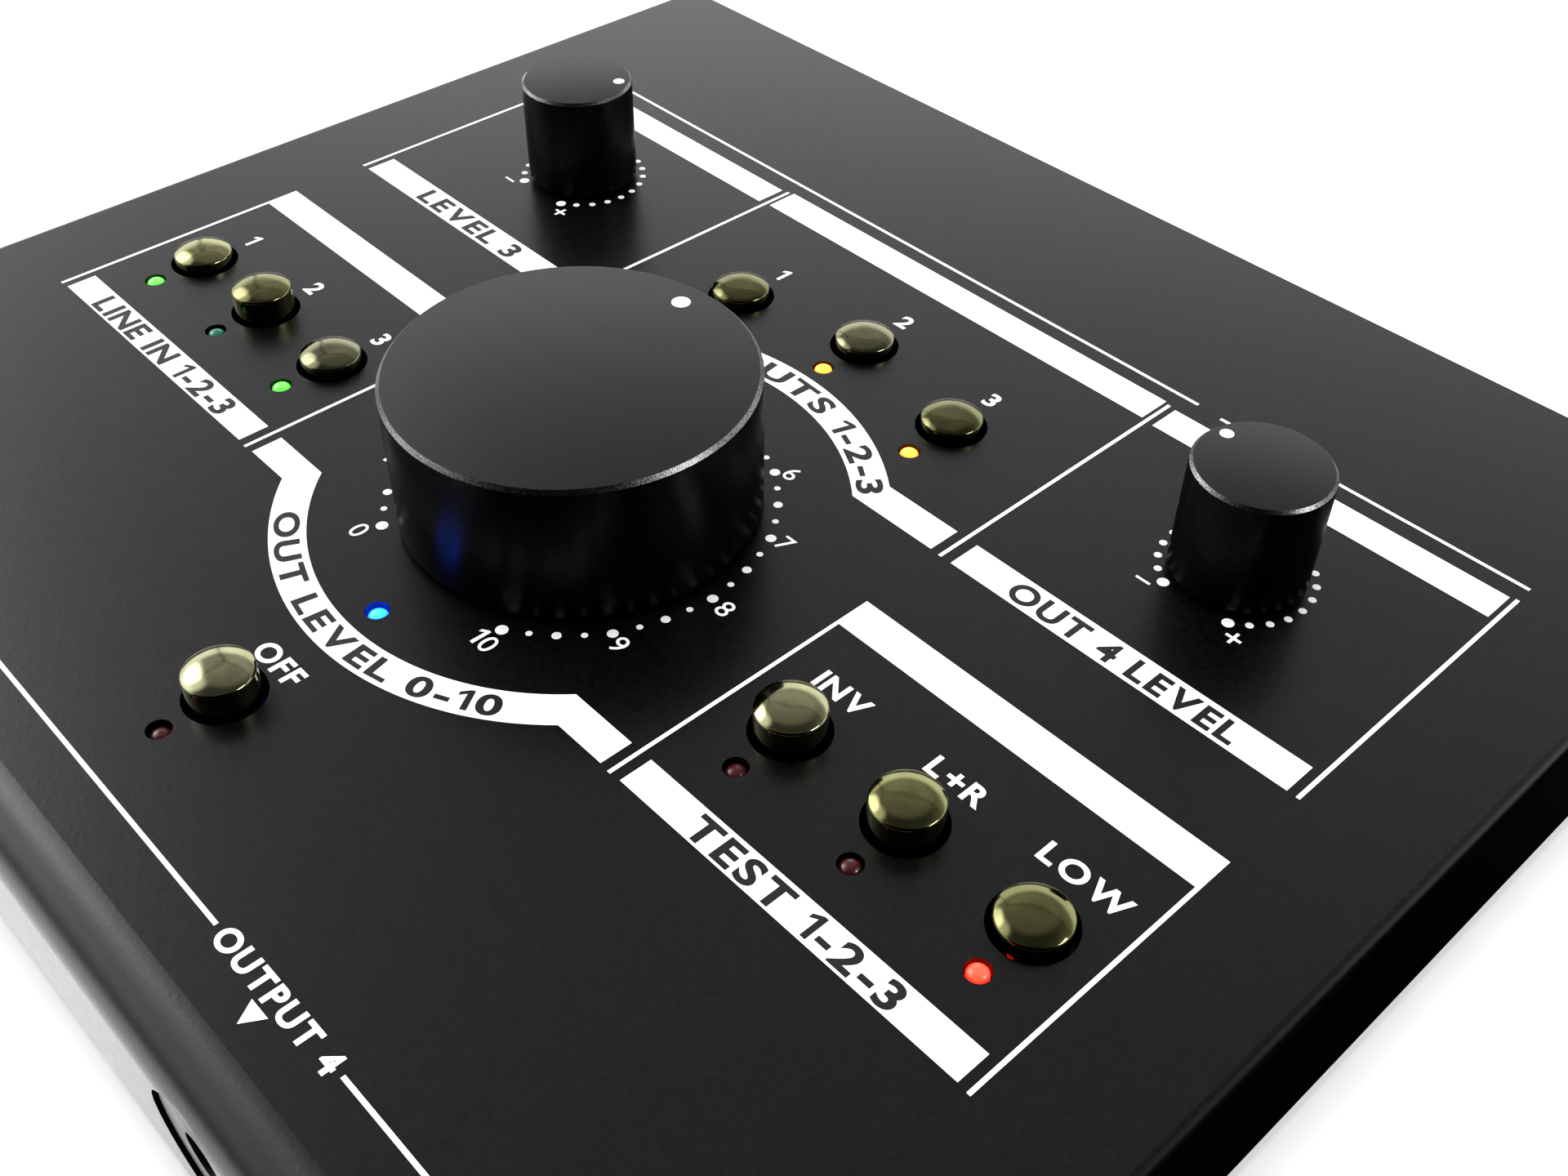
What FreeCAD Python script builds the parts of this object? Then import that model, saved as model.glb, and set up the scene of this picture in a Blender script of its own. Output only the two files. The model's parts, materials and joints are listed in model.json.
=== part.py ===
"""Desktop studio monitor controller: a folded steel case with one large and two small
level knobs, ten latching push-buttons, eleven lamps and sockets at the front and rear.

Every sub-part is modelled in the panel frame: X right, Y back, Z up, with its origin where
the master knob's axis meets the panel's face.  A Placement then stands it on the desk.
"""
import FreeCAD, Part
import math
import os

import Sketcher
from FreeCAD import Vector

DIMENSIONS = {
    # folded steel case
    "case_width": 220,
    "case_depth": 195.8,
    "case_height": 25,
    "sheet_wall": 1.5,
    "side_bend": 1.5,
    "front_bend": 6.5,
    "base_recess": 0.4,
    "cover_gap": 0.3,
    "lip_height": 4,
    "tab_reach": 6,
    "tab_width": 12,
    "tab_inset": 26,
    "cut_margin": 1,
    # feet and screws
    "foot_lift": 5,
    "foot_radius": 9,
    "foot_inset": 17,
    "foot_chamfer": 1.2,
    "screw_radius": 1.45,
    "screw_gap": 0.15,
    "thread_gap": 0.05,
    "screw_head_radius": 2.7,
    "screw_head_height": 1.6,
    "screw_length": 5,
    # layout of the controls on the panel
    "dial_setback": 82.3,
    "row_centre": 66.4,
    "row_pitch": 18.2,
    "row_drop": 7.8,
    "arc_radius": 52.3,
    "arc_step": 24.6,
    "level_dial_rise": 52.3,
    "lamp_drop": 8.35,
    "power_lamp_drop": 31.6,
    # boards
    "board_wall": 1.6,
    "standoff_height": 1.8,
    "spacer_across": 5.5,
    "main_tab_gap": 0.5,
    "main_edge_gap": 0.3,
    "control_drop": 10.9,
    "control_side_gap": 9.5,
    "control_front": 28,
    "control_rear": 64,
    "mute_tongue_half": 16,
    "mute_tongue_front": 72,
    "post_inset": 14.5,
    "post_front": 22,
    "post_rear": 58,
    # knobs, shafts and pots
    "knob_lift": 1,
    "master_radius": 23.8,
    "master_top": 20.8,
    "master_chamfer": 0.55,
    "master_wall": 2.6,
    "master_hollow": 8,
    "master_hub_radius": 8,
    "master_hub_start": 3.9,
    "master_turn": 141.3,
    "level_radius": 8.85,
    "level_top": 17.2,
    "level_chamfer": 0.45,
    "level_wall": 1.9,
    "level_hollow": 5,
    "headphone_turn": 211.3,
    "aux_turn": 86,
    "knob_fit": 0.02,
    "shaft_radius": 3,
    "shaft_flat": 2.4,
    "shaft_flat_length": 8,
    "shaft_short_of_top": 5,
    "shaft_roof_gap": 0.4,
    "shaft_running_gap": 0.05,
    "pot_floor": 1,
    "bushing_radius": 3.5,
    "bushing_hole_gap": 0.1,
    "bushing_rise": 3,
    "pot_nut_across": 10,
    "pot_nut_height": 2.2,
    "master_pot_width": 17,
    "level_pot_width": 11,
    "grub_radius": 1.5,
    "grub_length": 4,
    "grub_hole_gap": 0.1,
    "master_grub_level": 10.5,
    "level_grub_level": 8.6,
    # push-buttons
    "cap_radius": 4.35,
    "cap_stand": 4.3,
    "cap_dome": 0.4,
    "cap_rim": 0.35,
    "cap_ceiling": 1.2,
    "cap_hole_gap": 0.7,
    "latch_travel": 2.25,
    "over_travel": 0.5,
    "stem_width": 3.2,
    "stem_fit": 0.02,
    "stem_guide_gap": 0.1,
    "stem_engagement": 2,
    "stem_floor_gap": 0.25,
    "stem_short_of_ceiling": 0.3,
    "switch_width": 8.4,
    "switch_height": 6,
    "cap_switch_gap": 0.3,
    # lamps
    "lamp_radius": 1.45,
    "lamp_hole_radius": 1.55,
    "lamp_recess": 0.35,
    "lamp_height": 5.3,
    "lamp_post_width": 3.4,
    # sockets
    "socket_body_height": 13.6,
    "socket_body_width": 15.6,
    "socket_body_depth": 30,
    "socket_pitch": 17.2,
    "first_socket": 94,
    "socket_bore_radius": 3.25,
    "socket_bore_depth": 31,
    "socket_bushing_radius": 4.7,
    "bushing_reach": 4,
    "socket_hole_gap": 0.2,
    "socket_nut_across": 13,
    "socket_nut_height": 2.2,
    "bezel_radius": 8.4,
    "bezel_recess": 0.5,
    "bezel_chamfer": 0.25,
    "headphone_side": 42.5,
    "aux_socket_side": 60,
    "aux_body_width": 8,
    "aux_body_above": 3.7,
    "aux_body_depth": 13,
    "aux_bore_depth": 15,
    "aux_collar_radius": 3,
    "aux_bore_radius": 1.8,
    "aux_nut_radius": 4.2,
    "dc_side": 76.5,
    "dc_body_width": 9.6,
    "dc_body_above": 5.4,
    "dc_body_depth": 14,
    "dc_collar_radius": 4.6,
    "dc_collar_reach": 0.6,
    "dc_bore_radius": 3.15,
    "dc_bore_depth": 9.5,
    "dc_pin_radius": 1.0,
    "power_side": 94,
    "power_body_width": 12,
    "power_body_depth": 14,
    "power_radius": 3.5,
    "power_stand": 3,
    "power_stem": 7.5,
    "power_guide_gap": 0.1,
    "power_hole_gap": 0.4,
    "power_chamfer": 0.6,
    "power_travel": 2,
    # parts on the main board
    "relay_length": 14,
    "relay_width": 9,
    "relay_height": 5,
    "relay_pitch": 18,
    "relay_row_gap": 16,
    "relay_side": 58,
    "relay_front": 53,
    "chip_length": 10,
    "chip_width": 4,
    "chip_height": 1.75,
    "chip_pitch": 20,
    "chip_front": 12,
    "can_radius": 4,
    "can_height": 10.5,
    "can_pitch": 13,
    "can_row_gap": 4.5,
    "first_can": 92,
    "link_length": 30,
    "link_width": 5,
    "link_side": 52,
    "link_rear": 44,
}

# Places that follow from the driving dimensions, in the panel frame.
HALF_WIDTH = "(dims.case_width / 2)"
INNER_HALF = f"({HALF_WIDTH} - dims.sheet_wall)"
BASE_HALF = f"({INNER_HALF} - dims.cover_gap)"
FRONT = "(-dims.dial_setback)"
FRONT_INNER = f"({FRONT} + dims.sheet_wall)"
REAR = "(dims.case_depth - dims.dial_setback)"
REAR_INNER = f"({REAR} - dims.sheet_wall)"
PANEL_UNDER = "(-dims.sheet_wall)"
COVER_EDGE = "(-dims.case_height)"
FLOOR_UNDER = f"({COVER_EDGE} + dims.base_recess)"
FLOOR_TOP = f"({FLOOR_UNDER} + dims.sheet_wall)"
MAIN_UNDER = f"({FLOOR_TOP} + dims.standoff_height)"
MAIN_TOP = f"({MAIN_UNDER} + dims.board_wall)"
SOCKET_AXIS = f"({MAIN_TOP} + dims.socket_body_height / 2)"
MAIN_HALF = f"({INNER_HALF} - dims.tab_reach - dims.main_tab_gap)"
POST_SIDE = f"({INNER_HALF} - dims.post_inset)"
CONTROL_TOP = "(-dims.control_drop)"
CONTROL_UNDER = f"({CONTROL_TOP} - dims.board_wall)"
SPACER_HEIGHT = f"({CONTROL_UNDER} - {MAIN_TOP})"
SWITCH_TOP = f"({CONTROL_TOP} + dims.switch_height)"
FULL_TRAVEL = "(dims.latch_travel + dims.over_travel)"
CAP_FOOT = f"({SWITCH_TOP} + {FULL_TRAVEL} + dims.cap_switch_gap)"
LAMP_TOP = "(-dims.lamp_recess)"
LAMP_FOOT = f"({LAMP_TOP} - dims.lamp_height)"

# The footprint, sockets included, is centred on the desk origin.
DIAL_Y = "(dims.dial_setback - (dims.case_depth + dims.bushing_reach) / 2)"
FACE_Z = "(dims.foot_lift + dims.case_height)"

ROW_Y = "(-dims.row_drop)"
ARC_X = "(dims.arc_radius * sin(dims.arc_step))"
ARC_Y = "(dims.arc_radius * cos(dims.arc_step))"

# Push-buttons: place on the panel, and whether the switch rests latched in.
BUTTONS = {
    "source_1": ("(-dims.row_centre - dims.row_pitch)", ROW_Y, True),
    "source_2": ("(-dims.row_centre)", ROW_Y, False),
    "source_3": ("(-dims.row_centre + dims.row_pitch)", ROW_Y, True),
    "phase": ("(dims.row_centre - dims.row_pitch)", ROW_Y, False),
    "mono": ("(dims.row_centre)", ROW_Y, False),
    "dim": ("(dims.row_centre + dims.row_pitch)", ROW_Y, True),
    "speaker_a": (f"(-{ARC_X})", ARC_Y, True),
    "speaker_b": ("0", "(dims.arc_radius)", True),
    "subwoofer": (ARC_X, ARC_Y, True),
    "mute": ("0", "(-dims.arc_radius)", False),
}

LAMP_GROUPS = {
    "source_lamps": ("source_1", "source_2", "source_3"),
    "speaker_lamps": ("speaker_a", "speaker_b", "subwoofer"),
    "status_lamps": ("mute", "phase", "mono", "dim"),
}
POWER_LAMP = ("0", "(-dims.power_lamp_drop)")

# Dials: place on the panel, and the bearing of the knob's grub screw.
DIALS = {
    "master": ("0", "0", "dims.master_turn"),
    "headphone": ("(dims.row_centre)", "(dims.level_dial_rise)", "dims.headphone_turn"),
    "aux": ("(-dims.row_centre)", "(dims.level_dial_rise)", "dims.aux_turn"),
}

INPUT_SOCKETS = 4
OUTPUT_SOCKETS = 5
RELAYS_IN_ROW = 3
CHIPS = 8
CANS = 4
TOUCH = 1e-4

doc = FreeCAD.newDocument("monitor_controller")
sheet = doc.addObject("Spreadsheet::Sheet", "dims")


def fill_sheet():
    for row, (alias, value) in enumerate(DIMENSIONS.items(), start=1):
        sheet.set(f"A{row}", alias)
        sheet.set(f"B{row}", str(value))
        sheet.setAlias(f"B{row}", alias)
    doc.recompute()


def number(text):
    """The present value of an expression."""
    return float(sheet.evalExpression(text))


# --- bodies, sketches and features -------------------------------------------------


def new_body(name, x="0", y="0", z="0", turn=None):
    """A body whose local origin is at a point of the panel frame."""
    body = doc.addObject("PartDesign::Body", name)
    body.Label = name
    body.setExpression("Placement.Base.x", x)
    body.setExpression("Placement.Base.y", f"{DIAL_Y} + {y}")
    body.setExpression("Placement.Base.z", f"{FACE_Z} + {z}")
    if turn:
        body.setExpression("Placement.Rotation.Angle", turn)
    return body


def new_sketch(body, name, role, level):
    """A sketch on one of the body's origin planes, moved along the plane's normal."""
    sketch = body.newObject("Sketcher::SketchObject", name)
    plane = next(item for item in body.Origin.OriginFeatures if item.Role == role)
    sketch.AttachmentSupport = [(plane, "")]
    sketch.MapMode = "FlatFace"
    sketch.setExpression("AttachmentOffset.Base.z", level)
    return sketch


def hold(sketch, kind, item, end, text):
    """Hold one point of the sketch at a distance across (X) or up (Y) from the origin."""
    if text == "0":
        axis = {"DistanceX": -2, "DistanceY": -1}[kind]
        sketch.addConstraint(Sketcher.Constraint("PointOnObject", item, end, axis))
        return
    index = sketch.addConstraint(Sketcher.Constraint(kind, -1, 1, item, end, number(text)))
    sketch.setExpression(f"Constraints[{index}]", text)


def pin(sketch, item, end, u, v):
    hold(sketch, "DistanceX", item, end, u)
    hold(sketch, "DistanceY", item, end, v)


def add_circle(sketch, u, v, radius):
    centre = Vector(number(u), number(v), 0)
    item = sketch.addGeometry(Part.Circle(centre, Vector(0, 0, 1), number(radius)))
    index = sketch.addConstraint(Sketcher.Constraint("Radius", item, number(radius)))
    sketch.setExpression(f"Constraints[{index}]", radius)
    pin(sketch, item, 3, u, v)


def arc_between(start, end, centre_u):
    """An arc that joins two points about a centre whose place across is given.

    Sketch arcs run anticlockwise, so the second value tells whether it runs start to end.
    """
    reach = (start.x - centre_u) ** 2 + start.y**2 - (end.x - centre_u) ** 2 - end.y**2
    centre = Vector(centre_u, reach / (2 * (start.y - end.y)), 0)
    from_start = start - centre
    from_end = end - centre
    forward = from_start.cross(from_end).z > 0
    angles = [math.atan2(arm.y, arm.x) for arm in (from_start, from_end)]
    if not forward:
        angles.reverse()
    circle = Part.Circle(centre, Vector(0, 0, 1), from_start.Length)
    return Part.ArcOfCircle(circle, *angles), forward


def add_loop(sketch, points, arc_side=None, arc_centre_u="0"):
    """A closed outline of straight sides, one of which may be an arc instead."""
    places = [Vector(number(u), number(v), 0) for u, v in points]
    count = len(places)
    first = sketch.GeometryCount
    starts = []
    ends = []
    for side in range(count):
        curve = Part.LineSegment(places[side], places[(side + 1) % count])
        forward = True
        if side == arc_side:
            span = (places[side], places[(side + 1) % count], number(arc_centre_u))
            curve, forward = arc_between(*span)
        sketch.addGeometry(curve)
        starts.append(1 if forward else 2)
        ends.append(2 if forward else 1)
    for side in range(count):
        following = (side + 1) % count
        joint = (first + side, ends[side], first + following, starts[following])
        sketch.addConstraint(Sketcher.Constraint("Coincident", *joint))
        pin(sketch, first + side, starts[side], *points[side])
    if arc_side is not None:
        hold(sketch, "DistanceX", first + arc_side, 3, arc_centre_u)


def circles(body, name, role, level, radius, centres):
    sketch = new_sketch(body, name, role, level)
    for u, v in centres:
        add_circle(sketch, u, v, radius)
    return sketch


def rectangles(body, name, role, level, corners):
    """Corners is a list of (left, low, right, high)."""
    sketch = new_sketch(body, name, role, level)
    for left, low, right, high in corners:
        add_loop(sketch, [(left, low), (right, low), (right, high), (left, high)])
    return sketch


def centred(x, y, length, width):
    """A rectangle's corners from its centre and sides."""
    return (
        f"{x} - {length} / 2",
        f"{y} - {width} / 2",
        f"{x} + {length} / 2",
        f"{y} + {width} / 2",
    )


def add_hexagon(sketch, u, v, across):
    points = []
    for corner in range(6):
        bearing = 60 * corner
        points.append(
            (
                f"{u} + {across} / sqrt(3) * cos({bearing})",
                f"{v} + {across} / sqrt(3) * sin({bearing})",
            )
        )
    add_loop(sketch, points)


def pad(body, sketch, length, backwards=False):
    feature = body.newObject("PartDesign::Pad", f"{sketch.Name}_pad")
    feature.Profile = sketch
    feature.Reversed = backwards
    feature.setExpression("Length", length)
    sketch.Visibility = False
    doc.recompute()
    return feature


def pocket(body, sketch, length, backwards=False):
    """Cut against the sketch's normal, or along it when backwards."""
    before = body.Shape.Volume
    feature = body.newObject("PartDesign::Pocket", f"{sketch.Name}_pocket")
    feature.Profile = sketch
    feature.Reversed = backwards
    feature.setExpression("Length", length)
    sketch.Visibility = False
    doc.recompute()
    if body.Shape.Volume >= before - TOUCH:
        raise RuntimeError(f"{feature.Name} cuts nothing")
    return feature


def revolve(body, sketch):
    feature = body.newObject("PartDesign::Revolution", f"{sketch.Name}_turned")
    feature.Profile = sketch
    feature.ReferenceAxis = (sketch, ["V_Axis"])
    feature.Angle = 360
    sketch.Visibility = False
    doc.recompute()
    return feature


def edges_at(body, skip=None, **where):
    """Names of the edges that lie wholly at the given X, Y or Z, apart from skipped ones."""
    names = []
    for index, edge in enumerate(body.Tip.Shape.Edges, start=1):
        box = edge.BoundBox
        ends = [
            abs(getattr(box, axis + side) - place)
            for axis, place in where.items()
            for side in ("Min", "Max")
        ]
        if max(ends) < TOUCH and not (skip and skip(box)):
            names.append(f"Edge{index}")
    return names


def fillet(body, name, names, radius):
    dress(body, "PartDesign::Fillet", name, names, "Radius", radius)


def chamfer(body, name, names, size):
    dress(body, "PartDesign::Chamfer", name, names, "Size", size)


def dress(body, kind, name, names, field, value):
    base = body.Tip
    feature = body.newObject(kind, name)
    feature.Base = (base, names)
    feature.setExpression(field, value)
    doc.recompute()


# --- case -------------------------------------------------------------------------


def side_and_end_pairs(side, front_inset, rear_inset):
    """Four places: both sides, a given distance in from the case's front and rear."""
    rows = (f"({FRONT} + {front_inset})", f"({REAR} - {rear_inset})")
    return [(f"({sign}{side})", row) for row in rows for sign in ("-", "")]


def tab_holes():
    return side_and_end_pairs(
        f"({INNER_HALF} - dims.tab_reach / 2 - dims.cover_gap)", "dims.tab_inset", "dims.tab_inset"
    )


def foot_centres():
    return side_and_end_pairs(
        f"({HALF_WIDTH} - dims.foot_inset)", "dims.foot_inset", "dims.foot_inset"
    )


def post_centres():
    return [
        (f"({sign}{POST_SIDE})", row)
        for row in ("(-dims.post_front)", "(dims.post_rear)")
        for sign in ("-", "")
    ]


def lamp_centre(button):
    x, y, latched = BUTTONS[button]
    return (x, f"({y} - dims.lamp_drop)")


def all_lamp_centres():
    centres = [lamp_centre(button) for group in LAMP_GROUPS.values() for button in group]
    return centres + [POWER_LAMP]


def top_cover():
    """Panel, rolled front and both sides folded from one sheet, with four inward tabs."""
    body = new_body("top_cover")
    outside = [(FRONT, "0"), (FRONT, COVER_EDGE), (REAR, COVER_EDGE), (REAR, "0")]
    profile = new_sketch(body, "cover_outside", "YZ_Plane", f"-{HALF_WIDTH}")
    add_loop(profile, outside)
    pad(body, profile, "dims.case_width")
    fillet(body, "front_roll", edges_at(body, Y=number(FRONT), Z=0), "dims.front_bend")
    fold_cover_sides(body)
    hollow_cover(body)
    add_cover_tabs(body)
    cut_panel_holes(body)
    cut_front_socket_hole(body)


def fold_cover_sides(body):
    def open_edge(box):
        at_foot = abs(box.ZMax - number(COVER_EDGE)) < TOUCH
        at_rear = abs(box.YMin - number(REAR)) < TOUCH
        return at_foot or at_rear

    half = number(HALF_WIDTH)
    folds = edges_at(body, skip=open_edge, X=half) + edges_at(body, skip=open_edge, X=-half)
    fillet(body, "side_folds", folds, "dims.side_bend")


def hollow_cover(body):
    past_rear = f"({REAR} + dims.cut_margin)"
    past_edge = f"({COVER_EDGE} - dims.cut_margin)"
    roll = "(dims.front_bend - dims.sheet_wall)"
    inside = [
        (FRONT_INNER, past_edge),
        (FRONT_INNER, f"{PANEL_UNDER} - {roll}"),
        (f"{FRONT_INNER} + {roll}", PANEL_UNDER),
        (past_rear, PANEL_UNDER),
        (past_rear, past_edge),
    ]
    profile = new_sketch(body, "cover_inside", "YZ_Plane", f"-{INNER_HALF}")
    add_loop(profile, inside, arc_side=1, arc_centre_u=f"{FRONT_INNER} + {roll}")
    pocket(body, profile, f"2 * {INNER_HALF}", backwards=True)


def add_cover_tabs(body):
    corners = []
    for x, y in side_and_end_pairs("1", "dims.tab_inset", "dims.tab_inset"):
        inner = f"{x} * ({INNER_HALF} - dims.tab_reach)"
        outer = f"{x} * ({HALF_WIDTH} - dims.sheet_wall / 2)"
        low = f"{y} - dims.tab_width / 2"
        high = f"{y} + dims.tab_width / 2"
        corners.append((inner, low, outer, high))
    pad(body, rectangles(body, "tabs", "XY_Plane", FLOOR_TOP, corners), "dims.sheet_wall")
    thread = "dims.screw_radius + dims.thread_gap"
    holes = circles(body, "tab_threads", "XY_Plane", FLOOR_TOP, thread, tab_holes())
    pocket(body, holes, "dims.sheet_wall", backwards=True)


def cut_panel_holes(body):
    depth = "dims.sheet_wall + dims.cut_margin"
    button_spots = [(x, y) for x, y, latched in BUTTONS.values()]
    dial_spots = [(x, y) for x, y, turn in DIALS.values()]
    holes = {
        "button_holes": ("dims.cap_radius + dims.cap_hole_gap", button_spots),
        "lamp_holes": ("dims.lamp_hole_radius", all_lamp_centres()),
        "bushing_holes": ("dims.bushing_radius + dims.bushing_hole_gap", dial_spots),
    }
    for name, (radius, centres) in holes.items():
        pocket(body, circles(body, name, "XY_Plane", "0", radius, centres), depth)


def cut_front_socket_hole(body):
    level = f"-({FRONT} + dims.front_bend)"
    radius = "dims.bezel_radius + dims.socket_hole_gap"
    centre = [("dims.headphone_side", SOCKET_AXIS)]
    hole = circles(body, "front_socket_hole", "XZ_Plane", level, radius, centre)
    pocket(body, hole, "dims.front_bend + dims.cut_margin", backwards=True)


def base_chassis():
    """Floor with a short front lip and a full-height rear wall, folded from one sheet."""
    body = new_body("base_chassis")
    lip_out = f"({FRONT_INNER} + dims.cover_gap)"
    lip_in = f"({lip_out} + dims.sheet_wall)"
    lip_top = f"({FLOOR_UNDER} + dims.lip_height)"
    wall_top = f"({PANEL_UNDER} - dims.cover_gap)"
    section = [
        (lip_out, lip_top),
        (lip_out, FLOOR_UNDER),
        (REAR, FLOOR_UNDER),
        (REAR, wall_top),
        (REAR_INNER, wall_top),
        (REAR_INNER, FLOOR_TOP),
        (lip_in, FLOOR_TOP),
        (lip_in, lip_top),
    ]
    profile = new_sketch(body, "base_section", "YZ_Plane", f"-{BASE_HALF}")
    add_loop(profile, section)
    pad(body, profile, f"2 * {BASE_HALF}")
    under = number(FLOOR_UNDER)
    bends = edges_at(body, Y=number(lip_out), Z=under) + edges_at(body, Y=number(REAR), Z=under)
    fillet(body, "base_bends", bends, "dims.side_bend")
    cut_screw_holes(body)
    cut_rear_holes(body)


def cut_screw_holes(body):
    level = f"({FLOOR_TOP} + dims.cut_margin)"
    depth = "dims.sheet_wall + 2 * dims.cut_margin"
    radius = "dims.screw_radius + dims.screw_gap"
    pocket(body, circles(body, "screw_holes", "XY_Plane", level, radius, tab_holes()), depth)


def cut_rear_holes(body):
    level = f"-({REAR_INNER} - dims.cut_margin)"
    depth = "dims.sheet_wall + 2 * dims.cut_margin"
    holes = {
        "line_holes": (
            "dims.socket_bushing_radius + dims.socket_hole_gap",
            line_socket_centres(0, INPUT_SOCKETS + OUTPUT_SOCKETS),
        ),
        "aux_hole": (
            "dims.aux_collar_radius + dims.socket_hole_gap",
            [("-dims.aux_socket_side", SOCKET_AXIS)],
        ),
        "dc_hole": (
            "dims.dc_collar_radius + dims.socket_hole_gap",
            [("-dims.dc_side", SOCKET_AXIS)],
        ),
        "power_hole": (
            "dims.power_radius + dims.power_hole_gap",
            [("-dims.power_side", SOCKET_AXIS)],
        ),
    }
    for name, (radius, centres) in holes.items():
        pocket(body, circles(body, name, "XZ_Plane", level, radius, centres), depth)


def rubber_feet():
    """Four bonded feet."""
    body = new_body("rubber_feet")
    feet = circles(
        body, "foot_discs", "XY_Plane", FLOOR_UNDER, "dims.foot_radius", foot_centres()
    )
    pad(body, feet, "dims.foot_lift + dims.base_recess", backwards=True)
    under = number(f"{COVER_EDGE} - dims.foot_lift")
    chamfer(body, "foot_edges", edges_at(body, Z=under), "dims.foot_chamfer")


def add_screws(body, name, seat, centres, length, upwards):
    """Screws whose heads bear at the seat; upwards is the way their shanks point."""
    heads = circles(body, f"{name}_heads", "XY_Plane", seat, "dims.screw_head_radius", centres)
    pad(body, heads, "dims.screw_head_height", backwards=upwards)
    shanks = circles(body, f"{name}_shanks", "XY_Plane", seat, "dims.screw_radius", centres)
    pad(body, shanks, length, backwards=not upwards)


def cover_screws():
    body = new_body("cover_screws")
    add_screws(body, "tab", FLOOR_UNDER, tab_holes(), "dims.screw_length", True)


# --- boards and what stands on them -------------------------------------------------


def main_board():
    body = new_body("main_board")
    low = f"{FRONT_INNER} + dims.cover_gap + dims.sheet_wall + dims.main_edge_gap"
    high = f"{REAR_INNER} - dims.main_edge_gap"
    corners = [(f"-{MAIN_HALF}", low, MAIN_HALF, high)]
    outline = rectangles(body, "main_outline", "XY_Plane", MAIN_UNDER, corners)
    pad(body, outline, "dims.board_wall")


def control_board():
    """Board under the panel, with a tongue forward to the mute switch."""
    body = new_body("control_board")
    side = f"({INNER_HALF} - dims.control_side_gap)"
    tongue = "dims.mute_tongue_half"
    points = [
        (f"-{side}", "dims.control_rear"),
        (f"-{side}", "-dims.control_front"),
        (f"-{tongue}", "-dims.control_front"),
        (f"-{tongue}", "-dims.mute_tongue_front"),
        (tongue, "-dims.mute_tongue_front"),
        (tongue, "-dims.control_front"),
        (side, "-dims.control_front"),
        (side, "dims.control_rear"),
    ]
    outline = new_sketch(body, "control_outline", "XY_Plane", CONTROL_UNDER)
    add_loop(outline, points)
    pad(body, outline, "dims.board_wall")
    clear = "dims.screw_radius + dims.screw_gap"
    holes = circles(body, "control_holes", "XY_Plane", CONTROL_TOP, clear, post_centres())
    pocket(body, holes, "dims.board_wall")


def hexagonal_posts(name, foot, height):
    body = new_body(name)
    posts = new_sketch(body, f"{name}_outlines", "XY_Plane", foot)
    for x, y in post_centres():
        add_hexagon(posts, x, y, "dims.spacer_across")
    pad(body, posts, height)
    return body


def board_standoffs():
    hexagonal_posts("board_standoffs", FLOOR_TOP, "dims.standoff_height")


def board_spacers():
    """Spacers tapped halfway down for the board screws."""
    body = hexagonal_posts("board_spacers", MAIN_TOP, SPACER_HEIGHT)
    thread = "dims.screw_radius + dims.thread_gap"
    bores = circles(body, "spacer_threads", "XY_Plane", CONTROL_UNDER, thread, post_centres())
    pocket(body, bores, f"{SPACER_HEIGHT} / 2")


def board_screws():
    body = new_body("board_screws")
    length = f"dims.board_wall + {SPACER_HEIGHT} / 2 - dims.screw_gap"
    add_screws(body, "post", CONTROL_TOP, post_centres(), length, False)


def board_links():
    """Plug-in connectors that join the two boards."""
    body = new_body("board_links")
    corners = []
    for sign in ("-", ""):
        x = f"{sign}dims.link_side"
        corners.append(centred(x, "dims.link_rear", "dims.link_length", "dims.link_width"))
    blocks = rectangles(body, "links", "XY_Plane", MAIN_TOP, corners)
    pad(body, blocks, SPACER_HEIGHT)


def row_of_blocks(count, pitch, x, y, length, width):
    """Corners of a row of equal blocks whose middle is at (x, y)."""
    return [
        centred(f"({x} + ({index} - {count - 1} / 2) * {pitch})", y, length, width)
        for index in range(count)
    ]


def relays():
    """Two rows of signal relays in the clear corner ahead of the control board."""
    body = new_body("relays")
    corners = []
    for side in ("-", "+"):
        y = f"(-dims.relay_front {side} dims.relay_row_gap / 2)"
        row = (RELAYS_IN_ROW, "dims.relay_pitch", "-dims.relay_side", y)
        corners += row_of_blocks(*row, "dims.relay_length", "dims.relay_width")
    blocks = rectangles(body, "relay_rows", "XY_Plane", MAIN_TOP, corners)
    pad(body, blocks, "dims.relay_height")


def amplifier_chips():
    body = new_body("amplifier_chips")
    row = (CHIPS, "dims.chip_pitch", "0", "-dims.chip_front")
    corners = row_of_blocks(*row, "dims.chip_length", "dims.chip_width")
    blocks = rectangles(body, "chip_row", "XY_Plane", MAIN_TOP, corners)
    pad(body, blocks, "dims.chip_height")


def supply_capacitors():
    body = new_body("supply_capacitors")
    y = f"({REAR_INNER} - dims.socket_body_depth - dims.can_row_gap - dims.can_radius)"
    centres = [(f"{index} * dims.can_pitch - dims.first_can", y) for index in range(CANS)]
    cans = circles(body, "cans", "XY_Plane", MAIN_TOP, "dims.can_radius", centres)
    pad(body, cans, "dims.can_height")


# --- pots, shafts and knobs ---------------------------------------------------------


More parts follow.
